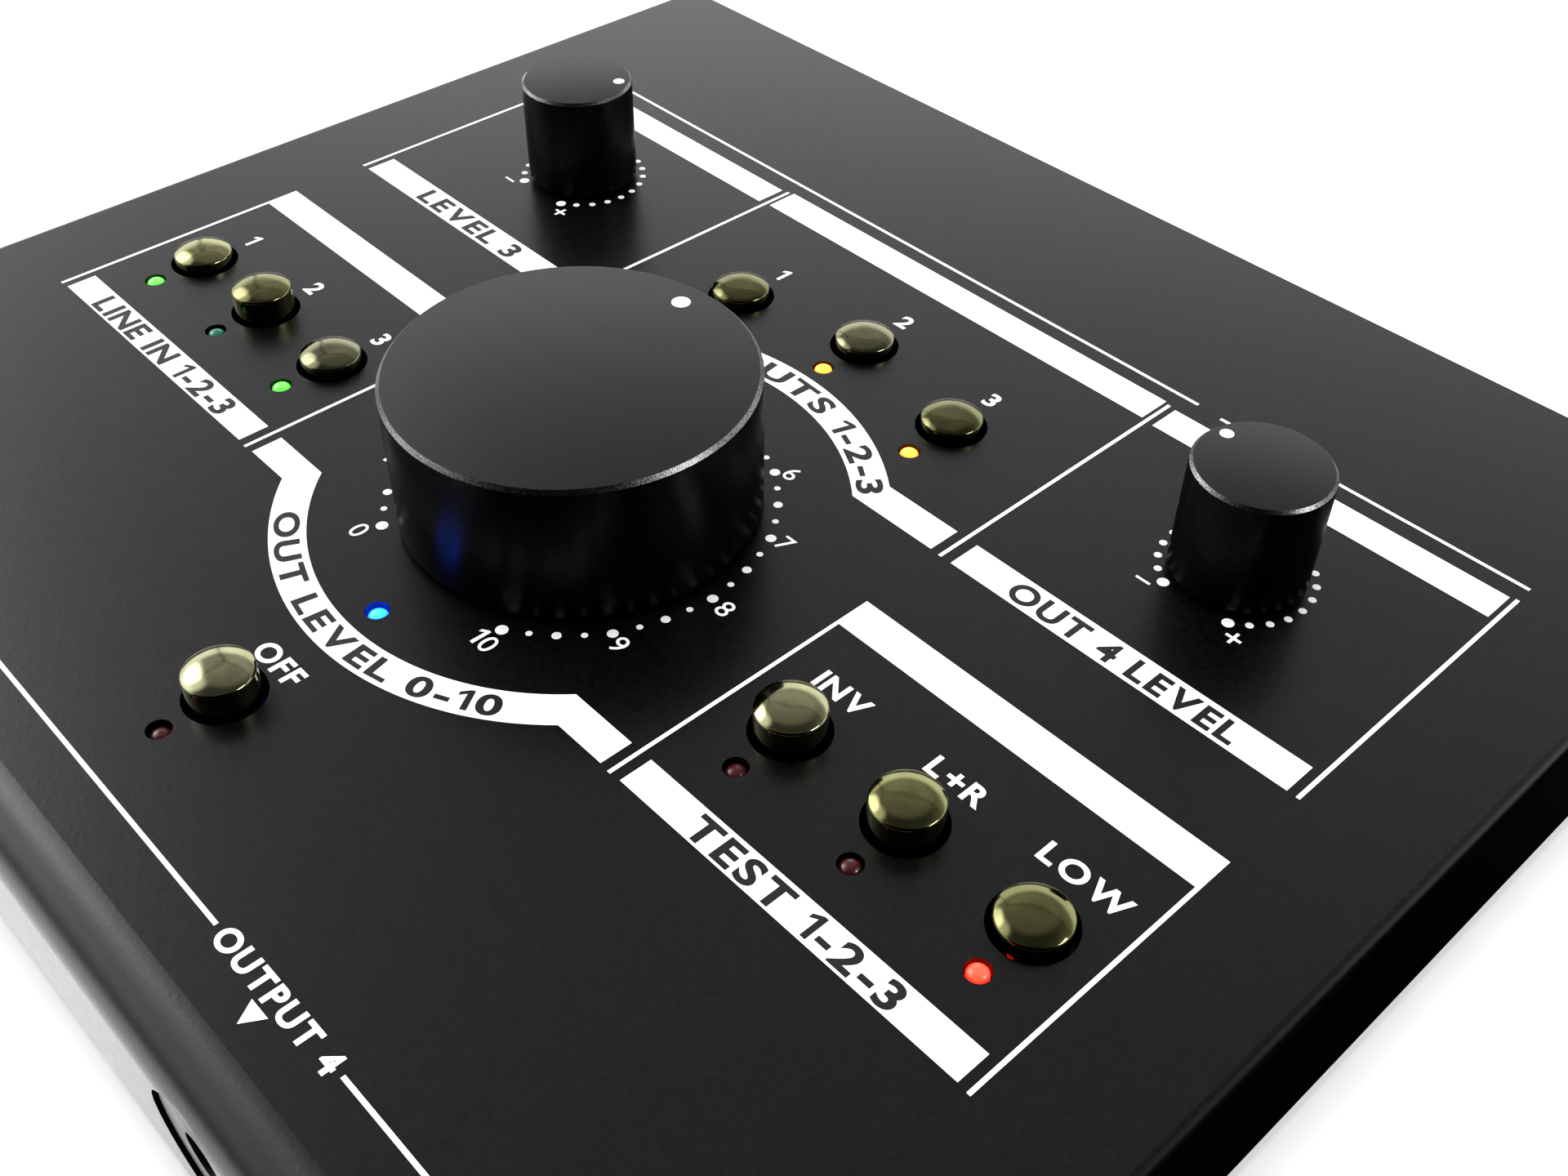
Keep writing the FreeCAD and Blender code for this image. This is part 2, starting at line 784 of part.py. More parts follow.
def pots(name, dials, width):
    """Closed pot housings between the control board and the panel, with their bushings."""
    body = new_body(name)
    centres = [DIALS[dial][:2] for dial in dials]
    squares = [centred(x, y, width, width) for x, y in centres]
    housing = rectangles(body, f"{name}_housings", "XY_Plane", CONTROL_TOP, squares)
    pad(body, housing, f"{PANEL_UNDER} - {CONTROL_TOP}")
    bushings = circles(body, f"{name}_bushings", "XY_Plane", PANEL_UNDER, "dims.bushing_radius", centres)
    pad(body, bushings, "dims.sheet_wall + dims.bushing_rise")
    running = "dims.shaft_radius + dims.shaft_running_gap"
    bores = circles(body, f"{name}_bores", "XY_Plane", "dims.bushing_rise", running, centres)
    pocket(body, bores, f"dims.bushing_rise - {CONTROL_TOP} - dims.pot_floor")


def pot_nuts():
    body = new_body("pot_nuts")
    sketch = new_sketch(body, "pot_nut_rings", "XY_Plane", "0")
    for x, y, turn in DIALS.values():
        add_hexagon(sketch, x, y, "dims.pot_nut_across")
        add_circle(sketch, x, y, "dims.bushing_radius")
    pad(body, sketch, "dims.pot_nut_height")


def dial_body(name, dial):
    x, y, turn = DIALS[dial]
    return new_body(name, x, y, turn=turn)


def shaft(dial, knob_top):
    """Steel shaft with a flat for the grub screw, from the pot's floor into the knob."""
    body = dial_body(f"{dial}_shaft", dial)
    foot = f"({CONTROL_TOP} + dims.pot_floor + dims.shaft_running_gap)"
    top = f"({knob_top} - dims.shaft_short_of_top - dims.shaft_roof_gap)"
    rod = circles(body, f"{dial}_rod", "XY_Plane", foot, "dims.shaft_radius", [("0", "0")])
    pad(body, rod, f"{top} - {foot}")
    reach = "dims.shaft_radius + dims.cut_margin"
    flat = [("dims.shaft_flat", f"-({reach})", reach, reach)]
    cut = rectangles(body, f"{dial}_flat", "XY_Plane", top, flat)
    pocket(body, cut, "dims.shaft_flat_length")


def knob(dial, radius, top, edge, hub, grub_level):
    """Turned aluminium knob, hollow below, with a bore for the shaft and a side hole."""
    body = dial_body(f"{dial}_knob", dial)
    bore = "(dims.shaft_radius + dims.knob_fit)"
    bore_top = f"({top} - dims.shaft_short_of_top)"
    section = [
        ("0", bore_top),
        ("0", top),
        (f"{radius} - {edge}", top),
        (radius, f"{top} - {edge}"),
        (radius, "dims.knob_lift"),
    ]
    section += hub + [(bore, bore_top)]
    profile = new_sketch(body, f"{dial}_knob_section", "XZ_Plane", "0")
    add_loop(profile, section)
    revolve(body, profile)
    hole = "dims.grub_radius + dims.grub_hole_gap"
    level = f"({radius} + dims.cut_margin)"
    side_hole = circles(body, f"{dial}_side_hole", "YZ_Plane", level, hole, [("0", grub_level)])
    pocket(body, side_hole, level)


def master_knob():
    bore = "(dims.shaft_radius + dims.knob_fit)"
    wall_in = "(dims.master_radius - dims.master_wall)"
    hollow_top = "(dims.knob_lift + dims.master_hollow)"
    hub = [
        (wall_in, "dims.knob_lift"),
        (wall_in, hollow_top),
        ("dims.master_hub_radius", hollow_top),
        ("dims.master_hub_radius", "dims.master_hub_start"),
        (bore, "dims.master_hub_start"),
    ]
    knob(
        "master",
        "dims.master_radius",
        "dims.master_top",
        "dims.master_chamfer",
        hub,
        "dims.master_grub_level",
    )


def level_knob(dial):
    bore = "(dims.shaft_radius + dims.knob_fit)"
    wall_in = "(dims.level_radius - dims.level_wall)"
    hollow_top = "(dims.knob_lift + dims.level_hollow)"
    hub = [
        (wall_in, "dims.knob_lift"),
        (wall_in, hollow_top),
        (bore, hollow_top),
    ]
    knob(
        dial,
        "dims.level_radius",
        "dims.level_top",
        "dims.level_chamfer",
        hub,
        "dims.level_grub_level",
    )


def grub_screw(dial, grub_level):
    """Headless screw that bears on the shaft's flat."""
    body = dial_body(f"{dial}_grub_screw", dial)
    centre = [("0", grub_level)]
    stud = circles(body, f"{dial}_grub", "YZ_Plane", "dims.shaft_flat", "dims.grub_radius", centre)
    pad(body, stud, "dims.grub_length")


# --- push-buttons -------------------------------------------------------------------


def switch_bodies():
    """Ten closed switch housings, each with a square guide for its stem."""
    body = new_body("switch_bodies")
    centres = [(x, y) for x, y, latched in BUTTONS.values()]
    squares = [centred(x, y, "dims.switch_width", "dims.switch_width") for x, y in centres]
    housing = rectangles(body, "switch_housings", "XY_Plane", CONTROL_TOP, squares)
    pad(body, housing, "dims.switch_height")
    guide = "(dims.stem_width + 2 * dims.stem_guide_gap)"
    squares = [centred(x, y, guide, guide) for x, y in centres]
    guides = rectangles(body, "stem_guides", "XY_Plane", SWITCH_TOP, squares)
    pocket(body, guides, f"dims.stem_engagement + {FULL_TRAVEL} + dims.stem_floor_gap")


def button_body(name, button):
    """A body that moves with one button, lowered by the latch's travel where it rests in."""
    x, y, latched = BUTTONS[button]
    rest = "-dims.latch_travel" if latched else "0"
    return new_body(name, x, y, rest)


def cap(button):
    """Domed cap with a square socket for the switch's stem."""
    body = button_body(f"cap_{button}", button)
    section = [
        ("0", CAP_FOOT),
        ("dims.cap_radius", CAP_FOOT),
        ("dims.cap_radius", "dims.cap_stand - dims.cap_rim"),
        ("dims.cap_radius - dims.cap_rim", "dims.cap_stand"),
        ("0", "dims.cap_stand + dims.cap_dome"),
    ]
    profile = new_sketch(body, f"cap_{button}_section", "XZ_Plane", "0")
    add_loop(profile, section, arc_side=3)
    revolve(body, profile)
    socket = "(dims.stem_width + 2 * dims.stem_fit)"
    square = [centred("0", "0", socket, socket)]
    stem_socket = rectangles(body, f"cap_{button}_socket", "XY_Plane", CAP_FOOT, square)
    pocket(body, stem_socket, f"dims.cap_stand - dims.cap_ceiling - {CAP_FOOT}", backwards=True)


def plunger(button):
    """Square switch stem that carries the cap."""
    body = button_body(f"plunger_{button}", button)
    foot = f"({SWITCH_TOP} - dims.stem_engagement)"
    top = "(dims.cap_stand - dims.cap_ceiling - dims.stem_short_of_ceiling)"
    square = [centred("0", "0", "dims.stem_width", "dims.stem_width")]
    stem = rectangles(body, f"plunger_{button}_stem", "XY_Plane", foot, square)
    pad(body, stem, f"{top} - {foot}")


# --- lamps --------------------------------------------------------------------------


def lamps(name, centres):
    """Round lamps whose faces stand just below the panel's."""
    body = new_body(name)
    lens = circles(body, f"{name}_lenses", "XY_Plane", LAMP_FOOT, "dims.lamp_radius", centres)
    pad(body, lens, "dims.lamp_height")


def lamp_posts():
    """Square holders that carry the lamps on the control board."""
    body = new_body("lamp_posts")
    width = "dims.lamp_post_width"
    squares = [centred(x, y, width, width) for x, y in all_lamp_centres()]
    posts = rectangles(body, "lamp_post_outlines", "XY_Plane", CONTROL_TOP, squares)
    pad(body, posts, f"{LAMP_FOOT} - {CONTROL_TOP}")


# --- sockets ------------------------------------------------------------------------


def line_socket_centres(first, count):
    return [
        (f"(dims.first_socket - {index} * dims.socket_pitch)", SOCKET_AXIS)
        for index in range(first, first + count)
    ]


def rear_socket(name, centres, width, above, depth, collar, reach, bore, bore_depth):
    """Housings against the rear wall, each with a collar through it and a blind bore.

    Each stands on the main board and ends a given height above the sockets' axis.
    """
    body = new_body(name)
    level = f"-{REAR_INNER}"
    corners = [
        (f"{x} - {width} / 2", MAIN_TOP, f"{x} + {width} / 2", f"{SOCKET_AXIS} + {above}")
        for x, z in centres
    ]
    pad(body, rectangles(body, f"{name}_housings", "XZ_Plane", level, corners), depth)
    collars = circles(body, f"{name}_collars", "XZ_Plane", level, collar, centres)
    pad(body, collars, f"dims.sheet_wall + {reach}", backwards=True)
    mouth = f"-({REAR} + {reach})"
    bores = circles(body, f"{name}_bores", "XZ_Plane", mouth, bore, centres)
    pocket(body, bores, bore_depth, backwards=True)
    return body


def line_sockets(name, first, count):
    rear_socket(
        name,
        line_socket_centres(first, count),
        "dims.socket_body_width",
        "dims.socket_body_height / 2",
        "dims.socket_body_depth",
        "dims.socket_bushing_radius",
        "dims.bushing_reach",
        "dims.socket_bore_radius",
        "dims.socket_bore_depth",
    )


def aux_socket():
    rear_socket(
        "aux_socket",
        [("(-dims.aux_socket_side)", SOCKET_AXIS)],
        "dims.aux_body_width",
        "dims.aux_body_above",
        "dims.aux_body_depth",
        "dims.aux_collar_radius",
        "dims.bushing_reach",
        "dims.aux_bore_radius",
        "dims.aux_bore_depth",
    )


def dc_inlet():
    centre = ("(-dims.dc_side)", SOCKET_AXIS)
    body = rear_socket(
        "dc_inlet",
        [centre],
        "dims.dc_body_width",
        "dims.dc_body_above",
        "dims.dc_body_depth",
        "dims.dc_collar_radius",
        "dims.dc_collar_reach",
        "dims.dc_bore_radius",
        "dims.dc_bore_depth",
    )
    floor = f"-({REAR} + dims.dc_collar_reach - dims.dc_bore_depth)"
    pin_circle = circles(body, "dc_pin", "XZ_Plane", floor, "dims.dc_pin_radius", [centre])
    pad(body, pin_circle, "dims.dc_bore_depth - dims.cut_margin", backwards=True)


def socket_nuts():
    body = new_body("socket_nuts")
    sketch = new_sketch(body, "socket_nut_rings", "XZ_Plane", f"-{REAR}")
    for x, z in line_socket_centres(0, INPUT_SOCKETS + OUTPUT_SOCKETS):
        add_hexagon(sketch, x, z, "dims.socket_nut_across")
        add_circle(sketch, x, z, "dims.socket_bushing_radius")
    pad(body, sketch, "dims.socket_nut_height", backwards=True)


def aux_nut():
    body = new_body("aux_nut")
    centre = ("(-dims.aux_socket_side)", SOCKET_AXIS)
    sketch = new_sketch(body, "aux_nut_ring", "XZ_Plane", f"-{REAR}")
    add_circle(sketch, *centre, "dims.aux_nut_radius")
    add_circle(sketch, *centre, "dims.aux_collar_radius")
    pad(body, sketch, "dims.socket_nut_height", backwards=True)


def headphone_socket():
    """Front socket: a housing behind the front roll, a barrel and a bezel sunk in the sheet."""
    body = new_body("headphone_socket")
    centre = [("dims.headphone_side", SOCKET_AXIS)]
    x, y, length, height = (
        "dims.headphone_side",
        SOCKET_AXIS,
        "dims.socket_body_width",
        "dims.socket_body_height",
    )
    behind_roll = f"-({FRONT} + dims.front_bend)"
    corners = [centred(x, y, length, height)]
    housing = rectangles(body, "headphone_housing", "XZ_Plane", behind_roll, corners)
    pad(body, housing, "dims.socket_body_depth", backwards=True)
    barrel = circles(
        body, "headphone_barrel", "XZ_Plane", behind_roll, "dims.socket_bushing_radius", centre
    )
    pad(body, barrel, "dims.front_bend - dims.bezel_recess")
    bezel = circles(
        body, "headphone_bezel", "XZ_Plane", f"-{FRONT_INNER}", "dims.bezel_radius", centre
    )
    pad(body, bezel, "dims.sheet_wall - dims.bezel_recess")
    face = f"({FRONT} + dims.bezel_recess)"
    chamfer(body, "bezel_edge", edges_at(body, Y=number(face)), "dims.bezel_chamfer")
    bore = circles(
        body, "headphone_bore", "XZ_Plane", f"-{face}", "dims.socket_bore_radius", centre
    )
    pocket(body, bore, "dims.socket_bore_depth")


def power_switch():
    """Latching switch housing behind the rear wall, with a blind guide for its button."""
    body = new_body("power_switch")
    half = "dims.power_body_width / 2"
    x = "-dims.power_side"
    corners = [(f"{x} - {half}", MAIN_TOP, f"{x} + {half}", f"{MAIN_TOP} + dims.socket_body_height")]
    housing = rectangles(body, "power_housing", "XZ_Plane", f"-{REAR_INNER}", corners)
    pad(body, housing, "dims.power_body_depth")
    guide = "dims.power_radius + dims.power_guide_gap"
    bore = circles(body, "power_guide", "XZ_Plane", f"-{REAR_INNER}", guide, [(x, SOCKET_AXIS)])
    pocket(body, bore, "dims.power_stem + dims.power_travel", backwards=True)


def power_button():
    body = new_body("power_button")
    foot = f"-({REAR_INNER} - dims.power_stem)"
    centre = [("-dims.power_side", SOCKET_AXIS)]
    rod = circles(body, "power_rod", "XZ_Plane", foot, "dims.power_radius", centre)
    pad(body, rod, "dims.power_stem + dims.sheet_wall + dims.power_stand", backwards=True)
    face = number(f"{REAR} + dims.power_stand")
    chamfer(body, "power_button_edge", edges_at(body, Y=face), "dims.power_chamfer")


# --- assembly -----------------------------------------------------------------------


def build_case():
    top_cover()
    base_chassis()
    rubber_feet()
    cover_screws()


def build_boards():
    main_board()
    control_board()
    board_standoffs()
    board_spacers()
    board_screws()
    board_links()
    relays()
    amplifier_chips()
    supply_capacitors()


def build_dials():
    pots("master_pot", ("master",), "dims.master_pot_width")
    pots("level_pots", ("headphone", "aux"), "dims.level_pot_width")
    pot_nuts()
    shaft("master", "dims.master_top")
    master_knob()
    grub_screw("master", "dims.master_grub_level")
    for dial in ("headphone", "aux"):
        shaft(dial, "dims.level_top")
        level_knob(dial)
        grub_screw(dial, "dims.level_grub_level")


def build_buttons():
    switch_bodies()
    for button in BUTTONS:
        cap(button)
        plunger(button)


def build_lamps():
    for name, buttons in LAMP_GROUPS.items():
        lamps(name, [lamp_centre(button) for button in buttons])
    lamps("power_lamp", [POWER_LAMP])
    lamp_posts()


def build_sockets():
    line_sockets("input_sockets", 0, INPUT_SOCKETS)
    line_sockets("output_sockets", INPUT_SOCKETS, OUTPUT_SOCKETS)
    socket_nuts()
    aux_socket()
    aux_nut()
    dc_inlet()
    headphone_socket()
    power_switch()
    power_button()


def check_document():
    """Every object is up to date, and every sub-part has a sound shape."""
    for item in doc.Objects:
        if "Invalid" in item.State or "Error" in item.State:
            raise RuntimeError(f"{item.Label}: {item.State}")
    for body in sub_parts():
        if body.Shape.isNull() or not body.Shape.isValid() or not body.Shape.Solids:
            raise RuntimeError(f"{body.Label} has no valid solid")


def sub_parts():
    return [item for item in doc.Objects if item.TypeId == "PartDesign::Body"]


def export_parts():
    os.makedirs("parts", exist_ok=True)
    for body in sub_parts():
        body.Shape.exportStep(f"parts/{body.Label}.step")


fill_sheet()
build_case()
build_boards()
build_dials()
build_buttons()
build_lamps()
build_sockets()
doc.recompute()
check_document()
export_parts()
print(f"{len(sub_parts())} sub-parts written")
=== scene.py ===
import json
import math

import bmesh
import bpy
from mathutils import Matrix, Vector


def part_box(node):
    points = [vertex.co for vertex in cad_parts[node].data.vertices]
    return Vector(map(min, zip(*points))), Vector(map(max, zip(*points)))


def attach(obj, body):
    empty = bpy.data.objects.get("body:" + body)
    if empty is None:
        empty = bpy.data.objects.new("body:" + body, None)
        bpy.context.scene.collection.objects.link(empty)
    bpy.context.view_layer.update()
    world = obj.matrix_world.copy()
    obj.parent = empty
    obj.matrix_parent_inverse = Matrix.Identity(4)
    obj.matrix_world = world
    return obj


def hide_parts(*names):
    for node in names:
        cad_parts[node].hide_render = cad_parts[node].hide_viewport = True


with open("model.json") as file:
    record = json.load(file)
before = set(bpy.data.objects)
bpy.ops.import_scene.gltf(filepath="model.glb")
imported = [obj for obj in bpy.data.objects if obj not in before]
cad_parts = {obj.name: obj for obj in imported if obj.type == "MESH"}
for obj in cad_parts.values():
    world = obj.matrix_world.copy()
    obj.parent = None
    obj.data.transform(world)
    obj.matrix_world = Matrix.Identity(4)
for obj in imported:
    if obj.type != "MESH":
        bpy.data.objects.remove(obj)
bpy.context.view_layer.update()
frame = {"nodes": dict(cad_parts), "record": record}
nodes = frame["nodes"]

# The panel frame is in millimetres: x to the right, y to the rear, and its origin where the
# master knob's axis meets the panel's face.
KNOB_LOW, KNOB_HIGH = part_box("master_knob")
ORIGIN = (KNOB_LOW + KNOB_HIGH) / 2
ORIGIN.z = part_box("top_cover")[1].z


def place(x, y, z=0.0):
    """A panel-frame point in the row frame, in metres."""
    return ORIGIN + Vector((x, y, z)) / 1000


def on_circle(radius, degrees, centre=(0, 0)):
    """The (x, y) point at a bearing on a circle."""
    angle = math.radians(degrees)
    return centre[0] + radius * math.cos(angle), centre[1] + radius * math.sin(angle)


def bearing(azimuth, elevation=0.0):
    """The unit vector that points along a bearing and height in degrees."""
    a, e = math.radians(azimuth), math.radians(elevation)
    return Vector((math.cos(a) * math.cos(e), math.sin(a) * math.cos(e), math.sin(e)))


def new_object(name, data):
    """An object that holds some data, linked to the scene."""
    made = bpy.data.objects.new(name, data)
    bpy.context.scene.collection.objects.link(made)
    return made


# --- camera ---

# Fitted to the photo: the lens and the place in millimetres, the turns in degrees.
LENS = 39.105
AZIMUTH, PITCH, ROLL = 46.248, 42.934, 1.0685
CAMERA_AT = (142.174, -99.195, 144.007)
# The nearest and the furthest that it sees, in metres.
NEAREST, FURTHEST = 0.01, 100


def make_camera():
    forward, right = bearing(AZIMUTH + 90, -PITCH), bearing(AZIMUTH)
    up = right.cross(forward)
    cosine, sine = math.cos(math.radians(ROLL)), math.sin(math.radians(ROLL))
    right, up = right * cosine + up * sine, up * cosine - right * sine
    data = bpy.data.cameras.new("camera")
    data.lens = LENS
    data.clip_start = NEAREST
    data.clip_end = FURTHEST
    camera = new_object("camera", data)
    turn = Matrix((right, up, -forward)).transposed().to_4x4()
    camera.matrix_world = Matrix.Translation(place(*CAMERA_AT)) @ turn
    bpy.context.scene.camera = camera


# --- materials ---


class Shader:
    """A Principled material and short calls for the nodes that drive it."""

    def __init__(self, name, color, roughness, **sockets):
        self.material = bpy.data.materials.new(name)
        self.material.use_nodes = True
        self.tree = self.material.node_tree
        self.main = self.tree.nodes["Principled BSDF"]
        self.main.inputs["Base Color"].default_value = (*color, 1)
        self.main.inputs["Roughness"].default_value = roughness
        for socket, value in sockets.items():
            self.main.inputs[socket.replace("_", " ")].default_value = value
        self.coordinates = self.tree.nodes.new("ShaderNodeTexCoord").outputs["Object"]

    def node(self, kind, inputs=(), **settings):
        node = self.tree.nodes.new(kind)
        for key, value in settings.items():
            setattr(node, key, value)
        for key, value in dict(inputs).items():
            if isinstance(value, bpy.types.NodeSocket):
                self.tree.links.new(value, node.inputs[key])
            else:
                node.inputs[key].default_value = value
        return node

    def stretched(self, x, y, z):
        """The coordinates, scaled along each axis."""
        inputs = {"Vector": self.coordinates, "Scale": (x, y, z)}
        return self.node("ShaderNodeMapping", inputs).outputs["Vector"]

    def noise(self, size_mm, detail=2.0, vector=None, roughness=0.5):
        """Noise whose features are about size_mm across."""
        inputs = {
            "Vector": vector or self.coordinates,
            "Scale": 1000 / size_mm,
            "Detail": detail,
            "Roughness": roughness,
        }
        return self.node("ShaderNodeTexNoise", inputs).outputs["Fac"]

    def ramp(self, value, low, high, at=(0.3, 0.7)):
        """Colours or greys between two ends of a value."""
        ramp = self.node("ShaderNodeValToRGB", {"Fac": value})
        for element, colour, where in zip(ramp.color_ramp.elements, (low, high), at):
            grey = isinstance(colour, (int, float))
            element.color = (colour, colour, colour, 1) if grey else (*colour, 1)
            element.position = where
        return ramp.outputs["Color"]

    def drive(self, socket, value):
        self.tree.links.new(value, self.main.inputs[socket])

    def paint(self, value, low, high, at=(0.3, 0.7)):
        self.drive("Base Color", self.ramp(value, low, high, at))

    def dull(self, value, low, high):
        """Roughness between two levels."""
        self.drive("Roughness", self.ramp(value, low, high))

    def bump(self, height, depth_mm):
        """Adds a relief of a given depth over any that is there already."""
        inputs = {"Height": height, "Strength": 1.0, "Distance": depth_mm / 1000}
        below = self.main.inputs["Normal"].links
        if below:
            inputs["Normal"] = below[0].from_socket
        relief = self.node("ShaderNodeBump", inputs)
        self.drive("Normal", relief.outputs["Normal"])


def darker(color, share=0.8):
    return tuple(channel * share for channel in color)


def powder_coat():
    s = Shader("powder_coat", (0.004, 0.004, 0.0042), 0.3)
    grain = s.noise(0.55, detail=3)
    s.paint(grain, (0.002, 0.002, 0.0021), (0.006, 0.006, 0.0062))
    s.dull(s.noise(1.4, detail=3), 0.285, 0.315)
    s.bump(grain, 0.012)
    s.bump(s.noise(0.16, detail=1), 0.003)
    return s.material


def anodised(name, roughness, depth):
    """Black anodised aluminium with a fine grain of a given relief."""
    s = Shader(name, (0.004, 0.004, 0.0043), roughness)
    grain = s.noise(0.2, detail=3, roughness=0.6)
    s.paint(grain, (0.002, 0.002, 0.0022), (0.006, 0.006, 0.0064))
    s.dull(grain, roughness - 0.04, roughness + 0.08)
    s.bump(grain, depth)
    return s.material


def turned_side():
    """The knob's side: fine turning marks that draw reflections out along the axis."""
    s = Shader("knob_side", (0.026, 0.026, 0.0265), 0.3, Metallic=1.0,
               Anisotropic=0.7, Anisotropic_Rotation=0.25)
    s.main.inputs["Specular Tint"].default_value = (0.5, 0.5, 0.5, 1)
    s.drive("Tangent", s.node("ShaderNodeTangent", direction_type="RADIAL", axis="Z").outputs[0])
    marks = s.noise(0.12, detail=2, vector=s.stretched(0.08, 0.08, 1))
    s.dull(marks, 0.26, 0.34)
    grain = s.noise(0.2, detail=3)
    s.paint(grain, (0.018, 0.018, 0.0185), (0.034, 0.034, 0.0345))
    s.bump(grain, 0.002)
    return s.material


def bevel_cut():
    """The knob's bevel, where the blasted metal catches the light as a bright speckle."""
    s = Shader("knob_rim", (0.12, 0.12, 0.122), 0.3, Metallic=1.0)
    grain = s.noise(0.2, detail=2, roughness=0.6)
    s.paint(grain, (0.06, 0.06, 0.062), (0.23, 0.23, 0.233), (0.35, 0.65))
    s.dull(grain, 0.26, 0.34)
    s.bump(grain, 0.02)
    return s.material


def smoked_chrome(name, level, blue):
    """Plating with an olive smoke; its paleness and blue, set cap by cap, are painted light and
    shade.
    """
    s = Shader(name, (level, level, level * blue), 0.1, Metallic=1.0)
    cloud = s.noise(2.2, detail=2)
    deep, thin = level * 0.92, level * 1.1
    s.paint(cloud, (deep, deep, deep * blue), (thin, thin, thin * blue))
    s.dull(s.noise(0.4, detail=3), 0.08, 0.14)
    s.bump(s.noise(2.6, detail=1), 0.022)
    return s.material


def print_ink(name, color):
    s = Shader(name, color, 0.45)
    grain = s.noise(0.3, detail=2)
    s.paint(grain, darker(color, 0.93), color)
    s.bump(grain, 0.004)
    return s.material


def lens(name, color, glow=None):
    """A lamp's lens. A lit one's glow is its strength, its colour on top of the dome and its
    colour round the dome's foot."""
    s = Shader(name, color, 0.3, Coat_Weight=0.35, Coat_Roughness=0.16)
    s.paint(s.noise(0.8), darker(color), color)
    if glow:
        strength, top, foot = glow
        normal = s.node("ShaderNodeTexCoord").outputs["Normal"]
        upward = s.node("ShaderNodeSeparateXYZ", {"Vector": normal}).outputs["Z"]
        s.drive("Emission Color", s.ramp(upward, foot, top, (0.35, 0.9)))
        s.main.inputs["Emission Strength"].default_value = strength
    return s.material


def moulding(name, color, roughness=0.5, grain_mm=0.25, depth=0.006):
    s = Shader(name, color, roughness)
    grain = s.noise(grain_mm, detail=2)
    s.paint(grain, darker(color), color)
    s.dull(s.noise(4, detail=3), roughness - 0.07, roughness + 0.07)
    s.bump(grain, depth)
    return s.material


def metal(name, color, roughness, grain_mm=0.12, stretch=(1, 1, 1)):
    s = Shader(name, color, roughness, Metallic=1.0)
    grain = s.noise(grain_mm, detail=3, vector=s.stretched(*stretch))
    s.paint(grain, darker(color), color)
    s.dull(grain, roughness - 0.06, roughness + 0.08)
    s.bump(grain, 0.003)
    return s.material


def board():
    s = Shader("solder_mask", (0.01, 0.09, 0.045), 0.35, Coat_Weight=0.3)
    weave = s.noise(1.2, detail=4)
    s.paint(weave, (0.008, 0.07, 0.035), (0.016, 0.12, 0.06))
    s.bump(s.noise(0.3), 0.01)
    return s.material


LENSES = {
    "green_lit": ((0.1, 0.6, 0.1), (0.95, (0.16, 0.88, 0.08), (0.07, 0.8, 0.04))),
    "green_off": ((0.02, 0.16, 0.11),),
    "amber_lit": ((0.8, 0.35, 0.05), (1.3, (1, 0.52, 0.06), (1, 0.25, 0.004))),
    "red_lit": ((0.8, 0.06, 0.04), (2.2, (1, 0.05, 0.022), (1, 0.015, 0.008))),
    "red_off": ((0.06, 0.01, 0.012),),
    "blue_lit": ((0.05, 0.3, 0.9), (7, (0.006, 0.09, 1), (0.003, 0.06, 1))),
}


def make_materials():
    made = {
        "case_coat": powder_coat(),
        "knob_anodised": anodised("black_anodised", 0.3, 0.004),
        "knob_side": turned_side(),
        "knob_top": anodised("knob_top", 0.42, 0.010),
        "knob_rim": bevel_cut(),
        "cap_metal": smoked_chrome("smoked_chrome", 0.2, 0.52),
        "foot_rubber": moulding("rubber", (0.012, 0.012, 0.012), 0.75, 0.5, 0.02),
        "screw_steel": metal("black_steel", (0.08, 0.08, 0.085), 0.38),
        "board_laminate": board(),
        "plated_brass": metal("plated_brass", (0.66, 0.58, 0.38), 0.28),
        "black_moulding": moulding("black_moulding", (0.02, 0.02, 0.021)),
        "white_moulding": moulding("white_moulding", (0.72, 0.72, 0.67)),
        "can_aluminium": metal("can_aluminium", (0.7, 0.71, 0.72), 0.3),
        "zinc_housing": metal("zinc_housing", (0.5, 0.51, 0.52), 0.42, 0.6),
        "plated_steel": metal("nickel_plate", (0.6, 0.59, 0.57), 0.24),
        "shaft_steel": metal("turned_steel", (0.55, 0.55, 0.56), 0.3, 0.2, (1, 1, 8)),
        "socket_moulding": moulding("socket_moulding", (0.018, 0.018, 0.019), 0.42),
        "white_ink": print_ink("white_ink", (0.9, 0.9, 0.89)),
        "black_ink": print_ink("black_ink", (0.012, 0.012, 0.012)),
    }
    for name, facts in LENSES.items():
        made[name] = lens(name, *facts)
    return made


# --- pieces ---


def panel_mesh(name, points, faces):
    """A mesh from points in the panel frame, with its faces turned outwards."""
    mesh = bpy.data.meshes.new(name)
    mesh.from_pydata([place(*p) for p in points], [], faces)
    shape = bmesh.new()
    shape.from_mesh(mesh)
    bmesh.ops.recalc_face_normals(shape, faces=shape.faces)
    shape.to_mesh(mesh)
    shape.free()
    return mesh


def evaluated_mesh(thing):
    """The mesh that an object's modifiers or its letters make."""
    bpy.context.view_layer.update()
    graph = bpy.context.evaluated_depsgraph_get()
    return bpy.data.meshes.new_from_object(thing.evaluated_get(graph))


